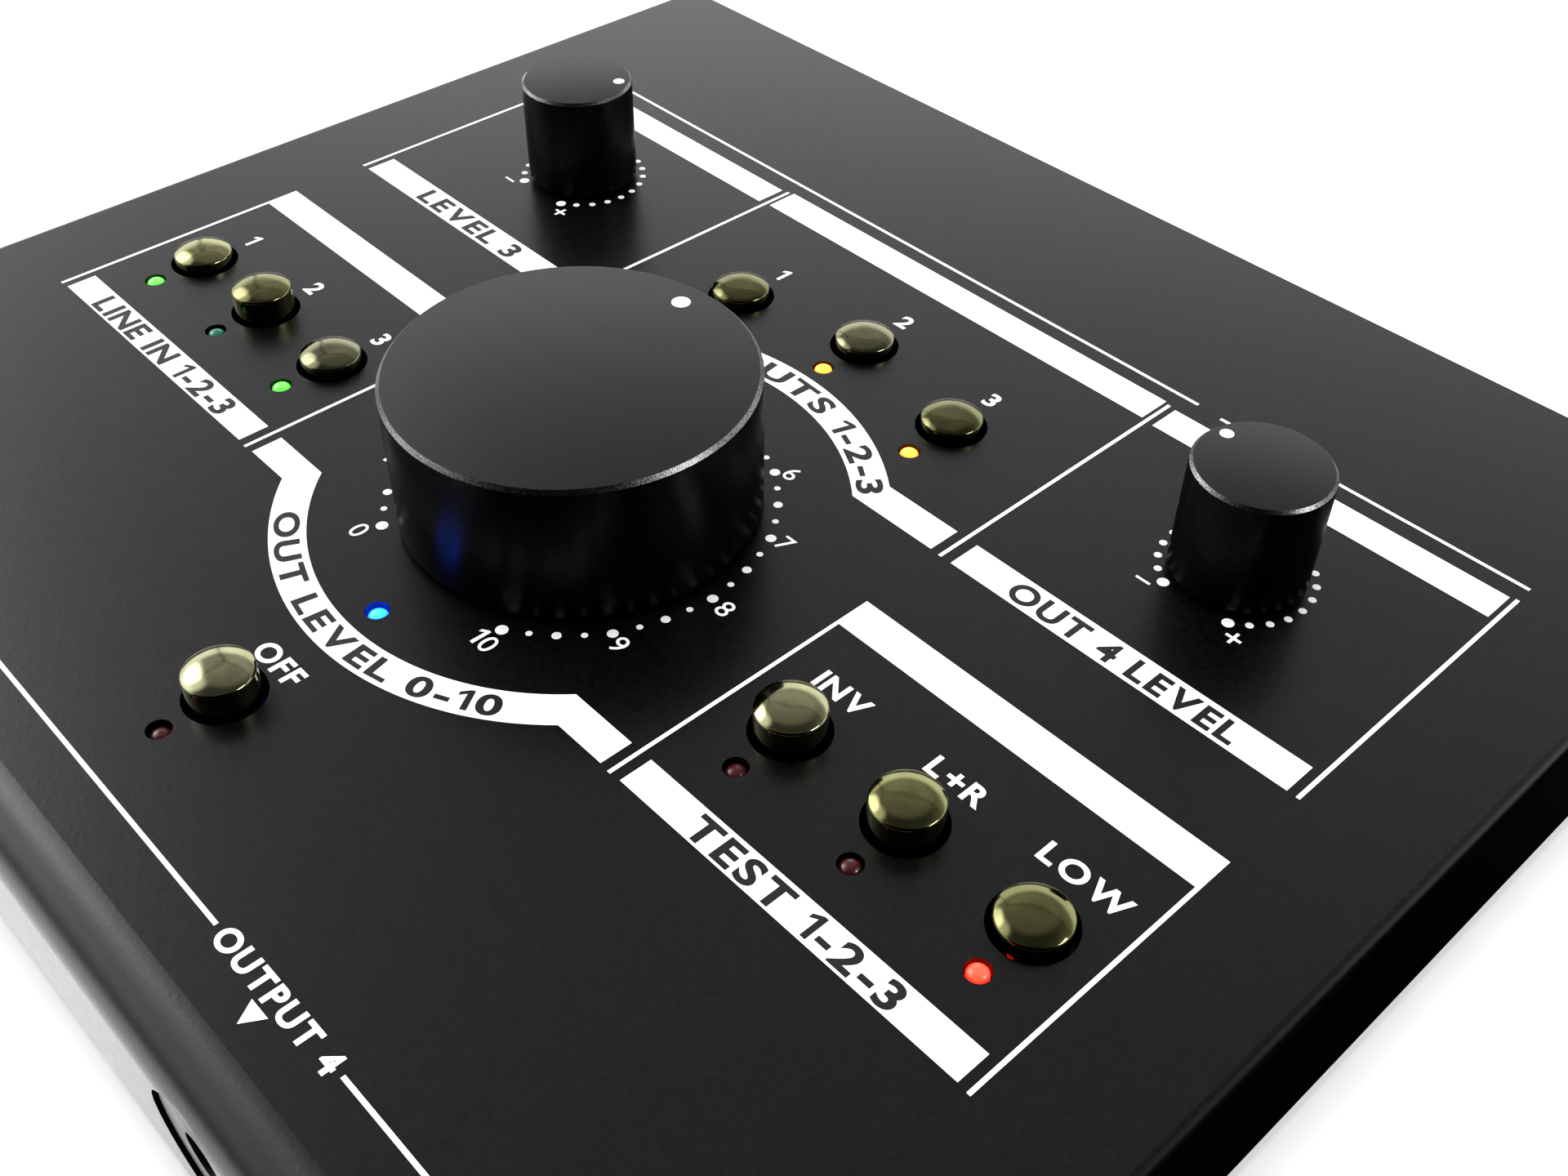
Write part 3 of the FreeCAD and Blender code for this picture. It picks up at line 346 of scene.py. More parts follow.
class Collector:
    """Gathers the points and faces of many solids into one mesh."""

    def __init__(self):
        self.points = []
        self.faces = []

    def prism(self, outline, low, high):
        """A closed outline of (x, y) points between two heights."""
        first, count = len(self.points), len(outline)
        self.points += [(x, y, low) for x, y in outline] + [(x, y, high) for x, y in outline]
        self.faces.append([first + i for i in range(count)][::-1])
        self.faces.append([first + count + i for i in range(count)])
        for i in range(count):
            j = (i + 1) % count
            self.faces.append([first + i, first + j, first + count + j, first + count + i])

    def band(self, left, right, low, high):
        """A strip between two lines of the same number of (x, y) points."""
        first, count = len(self.points), len(left)
        for height in (low, high):
            self.points += [(x, y, height) for x, y in (*left, *right)]

        def at(side, i, top):
            return first + (2 * count if top else 0) + (count if side else 0) + i

        for i in range(count - 1):
            self.faces.append([at(0, i, 1), at(1, i, 1), at(1, i + 1, 1), at(0, i + 1, 1)])
            self.faces.append([at(0, i, 0), at(0, i + 1, 0), at(1, i + 1, 0), at(1, i, 0)])
            for side in (0, 1):
                self.faces.append(
                    [at(side, i, 0), at(side, i + 1, 0), at(side, i + 1, 1), at(side, i, 1)]
                )
        for i in (0, count - 1):
            self.faces.append([at(0, i, 0), at(1, i, 0), at(1, i, 1), at(0, i, 1)])

    def lathe(self, profile, centre, segments=48, axis="z"):
        """Turns (radius, height) points, the first and last on the axis, about a centre."""
        cx, cy, cz = centre
        rings = []
        for radius, height in profile:
            ring = []
            for i in range(segments if radius > 0 else 1):
                angle = 2 * math.pi * i / segments
                u, v = radius * math.cos(angle), radius * math.sin(angle)
                ring.append(len(self.points))
                if axis == "z":
                    self.points.append((cx + u, cy + v, cz + height))
                else:
                    self.points.append((cx + u, cy + height, cz + v))
            rings.append(ring)
        for a, b in zip(rings, rings[1:]):
            for i in range(segments):
                j = (i + 1) % segments
                corners = [a[i % len(a)], a[j % len(a)], b[j % len(b)], b[i % len(b)]]
                face = list(dict.fromkeys(corners))
                if len(face) > 2:
                    self.faces.append(face)

    def add(self, name, material, body, smooth=0, slot=None, stands_for=()):
        """Makes a piece that rides on a CAD body. Edges that turn by less than the angle
        smooth, in degrees, are shaded as curves."""
        mesh = panel_mesh(name, self.points, self.faces)
        mesh.materials.append(material)
        piece = new_object(name, mesh)
        if smooth:
            for face in mesh.polygons:
                face.use_smooth = True
            mesh.set_sharp_from_angle(angle=math.radians(smooth))
        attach(piece, body)
        if stands_for:
            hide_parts(*stands_for)
        return piece


CUT_SHARP = 20


def cut(piece, tool, operation="DIFFERENCE"):
    """Cuts a collector's solid out of a piece, adds it, or keeps only what lies inside it."""
    mesh = panel_mesh("tool", tool.points, tool.faces)
    cutter = new_object("tool", mesh)
    step = piece.modifiers.new("cut", "BOOLEAN")
    step.operation = operation
    step.solver = "EXACT"
    step.object = cutter
    made = evaluated_mesh(piece)
    piece.modifiers.clear()
    old = piece.data
    made.name = old.name
    piece.data = made
    bpy.data.meshes.remove(old)
    bpy.data.objects.remove(cutter)
    bpy.data.meshes.remove(mesh)
    made.set_sharp_from_angle(angle=math.radians(CUT_SHARP))


def arc_points(radius, start, end, count, centre=(0, 0)):
    """Points on an arc, with the angles in degrees."""
    turn = end - start
    return [on_circle(radius, start + turn * i / (count - 1), centre) for i in range(count)]


# --- letters ---

# The built-in font's figure one is a bare bar, so this outline stands for it.
FIGURE_ONE = [(0.22, 0), (0.40, 0), (0.40, 1), (0.27, 1), (0, 0.82), (0, 0.64), (0.22, 0.79)]
# A capital's height in the font's own size, and gaps in capital heights.
CAPITAL = 0.729
LETTER_GAP, WORD_GAP = 0.15, 0.42
CURVE_STEPS, WELD = 6, 1e-5
# Every outline made so far, by letter and weight.
outlines = {}


def outline_of(letter, weight):
    """One letter as points (x, y, side) and faces, its capital height 1 and its left at 0."""
    if (letter, weight) not in outlines:
        made = Collector()
        if letter == "1":
            made.prism(FIGURE_ONE, 0, 1)
        else:
            font_letter(made, letter, weight)
        left = min(p[0] for p in made.points)
        made.points = [(x - left, y, side) for x, y, side in made.points]
        outlines[letter, weight] = made
    return outlines[letter, weight]


def font_letter(made, letter, weight):
    curve = bpy.data.curves.new("letter", "FONT")
    curve.body = letter
    curve.size = 1 / CAPITAL
    curve.offset = weight
    curve.extrude = 0.5
    curve.resolution_u = CURVE_STEPS
    word = new_object("letter", curve)
    mesh = evaluated_mesh(word)
    shape = bmesh.new()
    shape.from_mesh(mesh)
    bmesh.ops.remove_doubles(shape, verts=shape.verts, dist=WELD)
    shape.verts.index_update()
    made.points = [(v.co.x, v.co.y, 1 if v.co.z > 0 else 0) for v in shape.verts]
    made.faces = [[v.index for v in f.verts] for f in shape.faces]
    shape.free()
    bpy.data.objects.remove(word)
    bpy.data.curves.remove(curve)
    bpy.data.meshes.remove(mesh)


def add_word(ink, text, path, height, weight, layer, widen=1.0, width=None):
    """Adds a word between a layer's two heights. The path takes (x, y) about the word's
    middle to the panel. A width, where given, sets how far the word runs."""
    cursor, laid = 0.0, []
    for letter in text:
        if letter == " ":
            cursor += WORD_GAP
            continue
        shape = outline_of(letter, weight)
        laid.append((cursor, shape))
        cursor += max(p[0] for p in shape.points) + LETTER_GAP
    span = cursor - LETTER_GAP
    across = width / span if width else height * widen
    for start, shape in laid:
        first = len(ink.points)
        for x, y, side in shape.points:
            spot = path((x + start - span / 2) * across, (y - 0.5) * height)
            ink.points.append((*spot, layer[side]))
        ink.faces += [[first + i for i in face] for face in shape.faces]


def straight(centre):
    """A path for a word that stands straight about a centre."""
    return lambda x, y: (centre[0] + x, centre[1] + y)


def bent(radius, way):
    """A path for a word bent round the master dial, at its rear where way is 1 and at its
    front where way is -1."""
    def path(x, y):
        reach, angle = radius + way * y, way * (math.pi / 2 - x / radius)
        return reach * math.cos(angle), reach * math.sin(angle)
    return path


# --- printing on the panel ---

# Heights of the ink, and of the black words over the white bars.
INK_LOW, INK_TOP = -0.01, 0.03
INK = (INK_LOW, INK_TOP)
OVERPRINT = (INK_TOP - 0.01, 0.042)

# Thin lines from front to rear, alike on both sides: their x, and their ends.
LINE = 0.55
UPRIGHTS_X = (39.25, 93.25)
UPRIGHTS_Y = ((-27.1, 8.4), (26.55, 73.9))
# Thin lines across the panel: left end, right end and y.
CROSS_LINES = (
    (-93.3, 41.9, 77.05), (46.0, 93.3, 76.7), (-93.3, 28.3, -69.3), (51.9, 93.3, -69.3),
)
ARROW = [(38.57, -71.2), (40.1, -73.75), (41.64, -71.2)]
# Bars alike on both sides: front, rear, inner end and outer end.
SIDE_BARS = (
    (8.4, 13.8, 38.98, 93.52),
    (-26.9, -22.4, 41.0, 91.7),
    (68.4, 73.6, 40.5, 92.3),
    (26.6, 31.6, 41.1, 91.8),
)
REAR_BAR = (-38.4, 68.8, 38.4, 74.3)
# Arched bars: inner and outer radius, front and rear of their straight ends, and 1 where
# they arch to the rear or -1 to the front.
ARCHES = ((35.5, 40.6, 26.7, 31.7, 1), (35.4, 40.2, -26.9, -22.4, -1))
ARCH_END, ARCH_STEPS = 37.6, 48


def strip(ink, left, front, right, rear):
    outline = [(left, front), (right, front), (right, rear), (left, rear)]
    ink.prism(outline, INK_LOW, INK_TOP)


def frame_lines(ink):
    """The thin lines that box the groups of controls."""
    half = LINE / 2
    for side in (-1, 1):
        for x in UPRIGHTS_X:
            for front, rear in UPRIGHTS_Y:
                strip(ink, side * x - half, front, side * x + half, rear)
    for left, right, y in CROSS_LINES:
        strip(ink, left, y - half, right, y + half)
    ink.prism(ARROW, INK_LOW, INK_TOP)


def bars(ink):
    """The solid white bars, straight and curved."""
    for side in (-1, 1):
        for front, rear, inner, outer in SIDE_BARS:
            left, right = sorted((side * inner, side * outer))
            strip(ink, left, front, right, rear)
    strip(ink, *REAR_BAR)
    for facts in ARCHES:
        arch(ink, *facts)


def arch(ink, inner, outer, front, rear, way):
    """A curved band that runs out into a straight bar at each end."""
    near_edge, far_edge = (front, rear) if way > 0 else (rear, front)
    inner_angle = math.degrees(math.asin(near_edge / inner))
    outer_angle = math.degrees(math.asin(far_edge / outer))
    inside = arc_points(inner, inner_angle, way * 180 - inner_angle, ARCH_STEPS)
    outside = arc_points(outer, outer_angle, way * 180 - outer_angle, ARCH_STEPS)
    ink.band(
        [(ARCH_END, near_edge), *inside, (-ARCH_END, near_edge)],
        [(ARCH_END, far_edge), *outside, (-ARCH_END, far_edge)],
        INK_LOW,
        INK_TOP,
    )


# Rings of dots: the rings' radii, the first dot's bearing and the sweep to the last one.
MASTER_RING, LEVEL_RING = 25.9, 9.9
FIRST_DOT, SWEEP = -120, 300
MASTER_STEPS, LEVEL_STEPS = 40, 20
LEVEL_DIALS = ((66.4, 52.3), (-66.4, 52.3))
# Radii of the dots at whole, half and quarter numbers, and at the ends of the scales.
WHOLE_DOT, HALF_DOT, QUARTER_DOT, END_DOT = 0.72, 0.62, 0.4425, 0.825
LEVEL_DOT, LEVEL_END_DOT = 0.53, 0.8
# The smaller dots stand a little nearer the knob.
SMALL_DOT_RING = MASTER_RING * 0.992
# The end dots lie on the whole numbers' dots, by this much.
END_DOT_LIFT = 0.004


def scale_dots(ink):
    """The ring of dots round each dial."""
    for step in range(MASTER_STEPS + 1):
        turn = FIRST_DOT - SWEEP / MASTER_STEPS * step
        if step % 4 == 0:
            dot(ink, (0, 0), MASTER_RING, turn, WHOLE_DOT)
        else:
            dot(ink, (0, 0), SMALL_DOT_RING, turn, HALF_DOT if step % 2 == 0 else QUARTER_DOT)
    for turn in (FIRST_DOT, FIRST_DOT - SWEEP):
        dot(ink, (0, 0), MASTER_RING, turn, END_DOT, lift=END_DOT_LIFT)
    for centre in LEVEL_DIALS:
        for step in range(LEVEL_STEPS + 1):
            radius = LEVEL_END_DOT if step in (0, LEVEL_STEPS) else LEVEL_DOT
            dot(ink, centre, LEVEL_RING, FIRST_DOT - SWEEP / LEVEL_STEPS * step, radius)


def dot(ink, centre, ring, turn, radius, lift=0.0):
    """A round dot at a bearing on a ring, drawn with 24 corners."""
    outline = arc_points(radius, 0, 345, 24, on_circle(ring, turn, centre))
    ink.prism(outline, INK_LOW, INK_TOP + lift)


NUMERAL_HEIGHT, NUMERAL_WEIGHT = 2.8, 0.005
NUMERALS = {
    "0": (-14.2, -25.0), "1": (-24.4, -13.45), "2": (-28.3, 0), "3": (-24.4, 13.7),
    "4": (-14.75, 23.95), "5": (0, 28.3), "6": (14.75, 23.95), "7": (24.4, 13.7),
    "8": (28.3, 0), "9": (24.4, -13.45), "10": (13.0, -25.0),
}
LABEL_HEIGHT, LABEL_WEIGHT = 3.0, 0.04
LABEL_Y = 0.65
LABELS = {
    "1": ((-84.6, LABEL_Y), (-21.7, 56.2)),
    "2": ((-66.4, LABEL_Y), (0, 61)),
    "3": ((-48.2, LABEL_Y), (21.7, 56.2)),
    "INV": ((48.2, LABEL_Y),),
    "L+R": ((66.4, LABEL_Y),),
    "LOW": ((84.6, LABEL_Y),),
    "OFF": ((0, -45.05),),
}
WIDEN = 1.08
# The minus and the plus beside a level dial, as strips about its centre.
LEVEL_SIGNS = (
    (-8.0, -10.35, -5.8, -9.95),
    (5.9, -10.52, 8.1, -10.08),
    (6.78, -10.08, 7.22, -9.2),
    (6.78, -11.4, 7.22, -10.52),
)
# Words on the bars: text, path, height and width.
BAR_WEIGHT = 0.045
BAR_WORDS = (
    ("LINE IN 1-2-3", straight((-66.4, -24.65)), 3.5, 37),
    ("TEST 1-2-3", straight((66.4, -24.65)), 3.5, 31),
    ("LEVEL 3", straight((-66.4, 29.1)), 3.5, 25),
    ("OUT 4 LEVEL", straight((66.4, 29.1)), 3.5, 34),
    ("OUTPUTS 1-2-3", bent(38.05, 1), 3.5, 54),
    ("OUT LEVEL 0-10", bent(37.8, -1), 3.2, 50),
)


def white_words(ink):
    for text, centre in NUMERALS.items():
        add_word(ink, text, straight(centre), NUMERAL_HEIGHT, NUMERAL_WEIGHT, INK, WIDEN)
    for text, centres in LABELS.items():
        for centre in centres:
            add_word(ink, text, straight(centre), LABEL_HEIGHT, LABEL_WEIGHT, INK, WIDEN)
    add_word(ink, "OUTPUT 4", straight((40.1, -69.3)), 2.7, 0.05, INK, width=21.5)
    for x, y in LEVEL_DIALS:
        for left, front, right, rear in LEVEL_SIGNS:
            strip(ink, x + left, y + front, x + right, y + rear)


def black_words(ink):
    for text, path, height, width in BAR_WORDS:
        add_word(ink, text, path, height, BAR_WEIGHT, OVERPRINT, width=width)


def print_panel(materials):
    for name, draw, ink_name in (
        ("print_lines", frame_lines, "white_ink"),
        ("print_bars", bars, "white_ink"),
        ("print_dots", scale_dots, "white_ink"),
        ("print_figures", white_words, "white_ink"),
        ("print_bar_words", black_words, "black_ink"),
    ):
        ink = Collector()
        draw(ink)
        ink.add(name, materials[ink_name], "case")


# --- knobs ---

# Dial: centre, radius, height of the top, chamfer, pointer (radius, reach, bearing) and
# grub screw (height, bearing).
KNOBS = {
    "master": ((0, 0), 23.8, 20.8, 0.55, (1.26, 19.7, 96.3), (10.5, 141.3)),
    "headphone": ((66.4, 52.3), 8.85, 17.2, 0.45, (0.9, 6.85, 166.3), (8.6, 211.3)),
    "aux": ((-66.4, 52.3), 8.85, 17.2, 0.45, (0.9, 6.85, 41.0), (8.6, 86.0)),
}
POINTER_PROUD, POINTER_SUNK, POINTER_EDGE = 0.03, 0.04, 0.05
KNOB_FOOT, FOOT_EDGE, SOFT_EDGE = 1.0, 0.15, 0.08
# The bore for the shaft, and how far it stops under the top.
BORE, BORE_SHORT = 3.02, 5.0
# The hollow under each kind of knob, from the hub's foot to the wall's.
MASTER_HOLLOW = [(BORE, 3.9), (8.0, 3.9), (8.0, 9.0), (21.2, 9.0), (21.2, KNOB_FOOT)]
LEVEL_HOLLOW = [(BORE, 6.0), (6.95, 6.0), (6.95, KNOB_FOOT)]
GRUB_HOLE, GRUB_HOLE_START = 1.6, 4
# The top's finish starts this far down. Faces that point up by more than these sines are
# flat, or slope as the bevel does.
TOP_BAND, FLAT, SLOPING = 0.7, 0.95, 0.3


def knob_profile(dial, radius, top, chamfer):
    """From the bore's roof, down the hub and hollow, and up the outside to the top's centre."""
    hollow = MASTER_HOLLOW if dial == "master" else LEVEL_HOLLOW
    roof = top - BORE_SHORT
    side_top, flat_edge = top - chamfer, radius - chamfer
    soft = SOFT_EDGE / 3
    outside = [
        (radius - FOOT_EDGE, KNOB_FOOT), (radius, KNOB_FOOT + FOOT_EDGE),
        (radius, side_top - SOFT_EDGE), (radius - soft, side_top + soft),
        (flat_edge + soft, top - soft), (flat_edge - SOFT_EDGE, top),
    ]
    return [(0, roof), (BORE, roof), *hollow, *outside, (0, top)]


def knobs(materials):
    for dial, (centre, radius, top, chamfer, pointer, grub) in KNOBS.items():
        body = f"{dial}_dial"
        face = top - POINTER_PROUD
        turned = Collector()
        turned.lathe(knob_profile(dial, radius, face, chamfer), (*centre, 0), 160)
        knob = turned.add(f"turned_{dial}_knob", materials["knob_side"], body, smooth=20,
                          slot="knob_anodised", stands_for=[f"{dial}_knob"])
        side_hole(knob, centre, radius, grub)
        finish_top(knob, face, materials["knob_top"], materials["knob_rim"])
        dot_radius, reach, turn = pointer
        profile = [(0, -POINTER_SUNK), (dot_radius, -POINTER_SUNK), (dot_radius, -0.01),
                   (dot_radius - POINTER_EDGE, 0), (0, 0)]
        ink = Collector()
        ink.lathe(profile, (*on_circle(reach, turn, centre), top), 40)
        ink.add(f"{dial}_pointer", materials["white_ink"], body, smooth=30)


def side_hole(knob, centre, radius, grub):
    """Drills the grub screw's hole through the knob's wall."""
    height, degrees = grub
    drill = Collector()
    profile = [(0, 0), (GRUB_HOLE, 0), (GRUB_HOLE, radius), (0, radius)]
    drill.lathe(profile, (0, 0, GRUB_HOLE_START), 32)
    turn = Matrix.Rotation(math.radians(degrees), 3, "Z") @ Matrix.Rotation(math.pi / 2, 3, "Y")
    start = Vector((*centre, height))
    drill.points = [tuple(start + turn @ Vector(p)) for p in drill.points]
    cut(knob, drill)


def finish_top(knob, top, blasted, bevelled):
    """Gives the knob's top a coarser finish than its side, and its bevel a brighter one."""
    knob.data.materials.append(blasted)
    knob.data.materials.append(bevelled)
    level = place(0, 0, top - TOP_BAND).z
    for face in knob.data.polygons:
        if face.center.z > level and face.normal.z > SLOPING:
            face.material_index = 1 if face.normal.z > FLAT else 2


# --- caps ---

ROW_Y = -7.8
ARC_RADIUS, ARC_STEP = 52.3, math.radians(24.6)
ARC_X, ARC_Y = ARC_RADIUS * math.sin(ARC_STEP), ARC_RADIUS * math.cos(ARC_STEP)
# Where each button stands, whether it rests latched in, and its cap's plating: how pale it
# is and its blue over its red, set cap by cap as painted light and shade.
BUTTONS = {
    "source_1": (-84.6, ROW_Y, True, (0.245, 0.52)),
    "source_2": (-66.4, ROW_Y, False, (0.175, 0.47)),
    "source_3": (-48.2, ROW_Y, True, (0.17, 0.62)),
    "phase": (48.2, ROW_Y, False, (0.29, 0.6)),
    "mono": (66.4, ROW_Y, False, (0.2, 0.47)),
    "dim": (84.6, ROW_Y, True, (0.17, 0.47)),
    "speaker_a": (-ARC_X, ARC_Y, True, (0.14, 0.47)),
    "speaker_b": (0, ARC_RADIUS, True, (0.185, 0.6)),
    "subwoofer": (ARC_X, ARC_Y, True, (0.14, 0.5)),
    "mute": (0, -ARC_RADIUS, False, (0.3, 0.62)),
}
# Heights that the CAD model gives the train under a cap.
BOARD_TOP, SWITCH_HEIGHT, LATCH_TRAVEL, OVER_TRAVEL, CAP_GAP = -10.9, 6, 2.25, 0.5, 0.3
CAP_FOOT = BOARD_TOP + SWITCH_HEIGHT + LATCH_TRAVEL + OVER_TRAVEL + CAP_GAP
# The rim's round turns through an angle, and the dome goes on from there.
CAP_RADIUS, CAP_TOP, CAP_ROUND, CAP_TURN = 4.35, 4.7, 0.4, math.radians(60)
RIM_STEPS, DOME_STEPS = 12, 16


def cap_profile():
    """Foot, side, rounded rim and dome of a button's cap."""
    edge = FOOT_EDGE
    profile = [(0, CAP_FOOT), (CAP_RADIUS - edge, CAP_FOOT), (CAP_RADIUS, CAP_FOOT + edge)]
    edge_radius = CAP_RADIUS - CAP_ROUND + CAP_ROUND * math.cos(CAP_TURN)
    rise = edge_radius / 3 / math.tan(CAP_TURN)
    edge_height = CAP_TOP - rise
    for step in range(RIM_STEPS + 1):
        angle = CAP_TURN * step / RIM_STEPS
        profile.append((
            CAP_RADIUS - CAP_ROUND + CAP_ROUND * math.cos(angle),
            edge_height - CAP_ROUND * (math.sin(CAP_TURN) - math.sin(angle)),
        ))
    for step in range(1, DOME_STEPS + 1):
        share = 1 - step / DOME_STEPS
        profile.append((edge_radius * share, edge_height + rise * (1 - share**3)))
    return profile


def caps():
    profile = cap_profile()
    for button, (x, y, latched, cap_tint_and_shade) in BUTTONS.items():
        turned = Collector()
        turned.lathe(profile, (x, y, -LATCH_TRAVEL if latched else 0), 96)
        # Each cap gets its own copy of the plating, paler or darker: painted light and shade.
        plating = smoked_chrome(f"smoke_{button}", *cap_tint_and_shade)
        turned.add(f"domed_cap_{button}", plating, f"{button}_button", smooth=35,
                   slot="cap_metal", stands_for=[f"cap_{button}"])


# --- lamps ---

# By CAD node and colour slot: each lamp's finish, and how high it stands over the panel.
LAMPS = {
    ("source_lamps", "green_lamp"): {
        "source_1": ("green_lit", 0.2), "source_2": ("green_off", 0.0),
        "source_3": ("green_lit", 0.2),
    },
    ("speaker_lamps", "amber_lamp"): {
        "speaker_a": ("amber_lit", 0.25), "speaker_b": ("amber_lit", 0.25),
        "subwoofer": ("amber_lit", 0.15),
    },
    ("status_lamps", "red_lamp"): {
        "mute": ("red_off", -0.35), "phase": ("red_off", -0.2), "mono": ("red_off", 0.0),
        "dim": ("red_lit", 0.25),
    },
    ("power_lamp", "blue_lamp"): {"power": ("blue_lit", -0.25)},
}
LAMP_DROP = 8.35
POWER_LAMP = (0, -31.6)
LAMP_RADIUS, LAMP_DOME, LAMP_HEIGHT, LAMP_STEPS = 1.3, 0.85, 5.3, 12


def lamp_profile():
    profile = [(0, -LAMP_HEIGHT), (LAMP_RADIUS, -LAMP_HEIGHT)]
    for step in range(LAMP_STEPS):
        angle = math.radians(step * 90 / LAMP_STEPS)
        height = -LAMP_DOME + LAMP_DOME * math.sin(angle)
        profile.append((LAMP_RADIUS * math.cos(angle), height))
    return [*profile, (0, 0)]


def lamp_place(name):
    """The power lamp has its own place. The others stand in front of their buttons."""
    if name == "power":
        return POWER_LAMP
    x, y, *_ = BUTTONS[name]
    return x, y - LAMP_DROP


def lamps(materials):
    for (node, slot), group in LAMPS.items():
        for name, (finish, top) in group.items():
            dome = Collector()
            dome.lathe(lamp_profile(), (*lamp_place(name), top), 40)
            dome.add(f"lamp_{name}", materials[finish], "case", smooth=40, slot=slot,
                     stands_for=[node])


# --- feet and screws ---

DESK, UNDERSIDE = -30.0, -24.6
FEET = [(x, y) for x in (-93, 93) for y in (-65.3, 96.5)]
FOOT_RADIUS, FOOT_ROUND = 9, 1.5
# The moulded hole under a foot, from its roof to the desk.
FOOT_HOLE = [(0, DESK + 1.6), (2.2, DESK + 1.6), (2.4, DESK + 0.2), (2.7, DESK)]

COVER_SCREWS = [(x, y) for x in (-105.2, 105.2) for y in (-56.3, 87.5)]
HEAD_RADIUS, HEAD_HEIGHT, HEAD_ROUND, HEAD_STEPS = 2.7, 1.6, 1.3, 8
SCREW_THREAD, SCREW_TIP = (1.42, UNDERSIDE, -20.0, 0.5, 0.25), (1.1, -19.6)
CROSS_ARM, CROSS_HALF, CROSS_DEPTH, CUT_PAST = 1.45, 0.36, 1.0, 0.2


def corner(radius, height, size, way):
    """A rounded outer corner of a profile, from its flat end to its side."""
    points = []
    for step in range(7):
        angle = math.radians(15 * step)
        points.append((
            radius - size + size * math.sin(angle), height + way * size * (1 - math.cos(angle)),
        ))
    return points


def feet(materials):
    side = corner(FOOT_RADIUS, DESK, FOOT_ROUND, 1)
    profile = [*FOOT_HOLE, *side, (FOOT_RADIUS, UNDERSIDE), (0, UNDERSIDE)]
    turned = Collector()
    for x, y in FEET:
        turned.lathe(profile, (x, y, 0), 64)
    turned.add("turned_feet", materials["foot_rubber"], "case", smooth=35, slot="foot_rubber",
               stands_for=["rubber_feet"])


def thread(radius, start, end, pitch, depth):
    """The saw-tooth side of a thread between two heights."""
    count = round(abs(end - start) / pitch)
    step = (end - start) / count
    points = []
    for turn in range(count):
        points += [(radius, start + turn * step), (radius - depth, start + (turn + 0.5) * step)]
    return [*points, (radius, end)]


def cover_screws(materials):
    head = UNDERSIDE - HEAD_HEIGHT
    profile = [(0, head)]
    for step in range(1, HEAD_STEPS + 1):
        angle = math.radians(90 * step / HEAD_STEPS)
        height = head + HEAD_ROUND * (1 - math.cos(angle))
        profile.append((HEAD_RADIUS * math.sin(angle), height))
    profile += [(HEAD_RADIUS, UNDERSIDE), *thread(*SCREW_THREAD), SCREW_TIP, (0, SCREW_TIP[1])]
    turned, crosses = Collector(), Collector()
    for x, y in COVER_SCREWS:
        turned.lathe(profile, (x, y, 0), 40)
        crosses.prism(cross_outline(x, y), head - CUT_PAST, head + CROSS_DEPTH)
    screws = turned.add("pan_head_screws", materials["screw_steel"], "case", smooth=35,
                        slot="screw_steel", stands_for=["cover_screws"])
    cut(screws, crosses)


def cross_outline(x, y):
    """The cross recess of a screw's head, about a screw's place."""
    u, v = CROSS_HALF, CROSS_ARM
    cross = [(u, u), (u, v), (-u, v), (-u, u), (-v, u), (-v, -u),
             (-u, -u), (-u, -v), (u, -v), (u, -u), (v, -u), (v, u)]
    return [(x + right, y + rear) for right, rear in cross]


# --- sockets and controls at the rear ---

REAR_INNER, REAR_FACE, SOCKET_LEVEL = 112.0, 113.5, -12.9
# Places along the rear panel, as x.
LINE_SOCKETS = [94 - 17.2 * index for index in range(9)]
AUX_SOCKET, INLET, POWER_BUTTON = -60, -76.5, -94
INPUTS = 4

SOCKET_RADIUS, SOCKET_REACH = 4.7, 4.0
SOCKET_HALF, SOCKET_BEVEL, SOCKET_DEPTH = 7.8, 0.5, 30
SOCKET_TOP, MAIN_BOARD_TOP = -6.1, -19.7
THROAT_RADIUS, THROAT_DEPTH, THROAT_MOUTH = 3.25, 31, 3.75
NUT_HEIGHT, NUT_FLATS = 2.2, 13
AUX_NUT_RADIUS, AUX_NUT_BORE, AUX_NUT_EDGE = 4.2, 3.0, 0.35
SLOT_HALF, SLOT_DEPTH = 0.45, 0.8
# Tools that cut right through a piece start and end this far past it.
PAST = 1


def facing_rear(shape):
    """Turns shapes drawn in plan so that they stand against the rear wall."""
    shape.points = [(x, z, y) for x, y, z in shape.points]
    return shape


def bores(centres, profile, segments=48):
    """Solids of revolution about axes that run from front to rear."""
    tool = Collector()
    for x in centres:
        tool.lathe(profile, (x, 0, SOCKET_LEVEL), segments, axis="y")
    return tool


def socket_nuts(materials):
    foot, face = REAR_FACE - PAST, REAR_FACE + NUT_HEIGHT
    corner_radius = NUT_FLATS / math.sqrt(3)
    hexes = Collector()
    for x in LINE_SOCKETS:
        outline = [on_circle(corner_radius, 60 * i, (x, SOCKET_LEVEL)) for i in range(6)]
        hexes.prism(outline, REAR_FACE, face)
    nuts = facing_rear(hexes).add(
        "chamfered_nuts", materials["plated_steel"], "case", slot="plated_steel",
        stands_for=["socket_nuts"],
    )
    cone = [(0, foot), (7.6, foot), (7.6, face - 0.6), (5.2, face + 0.5), (0, face + 0.5)]
    cut(nuts, bores(LINE_SOCKETS, cone, 72), "INTERSECT")
    hole = [(0, foot), (SOCKET_RADIUS, foot), (SOCKET_RADIUS, face - 0.3),
            (SOCKET_RADIUS + 0.5, face + 0.2), (0, face + 0.2)]
    cut(nuts, bores(LINE_SOCKETS, hole))


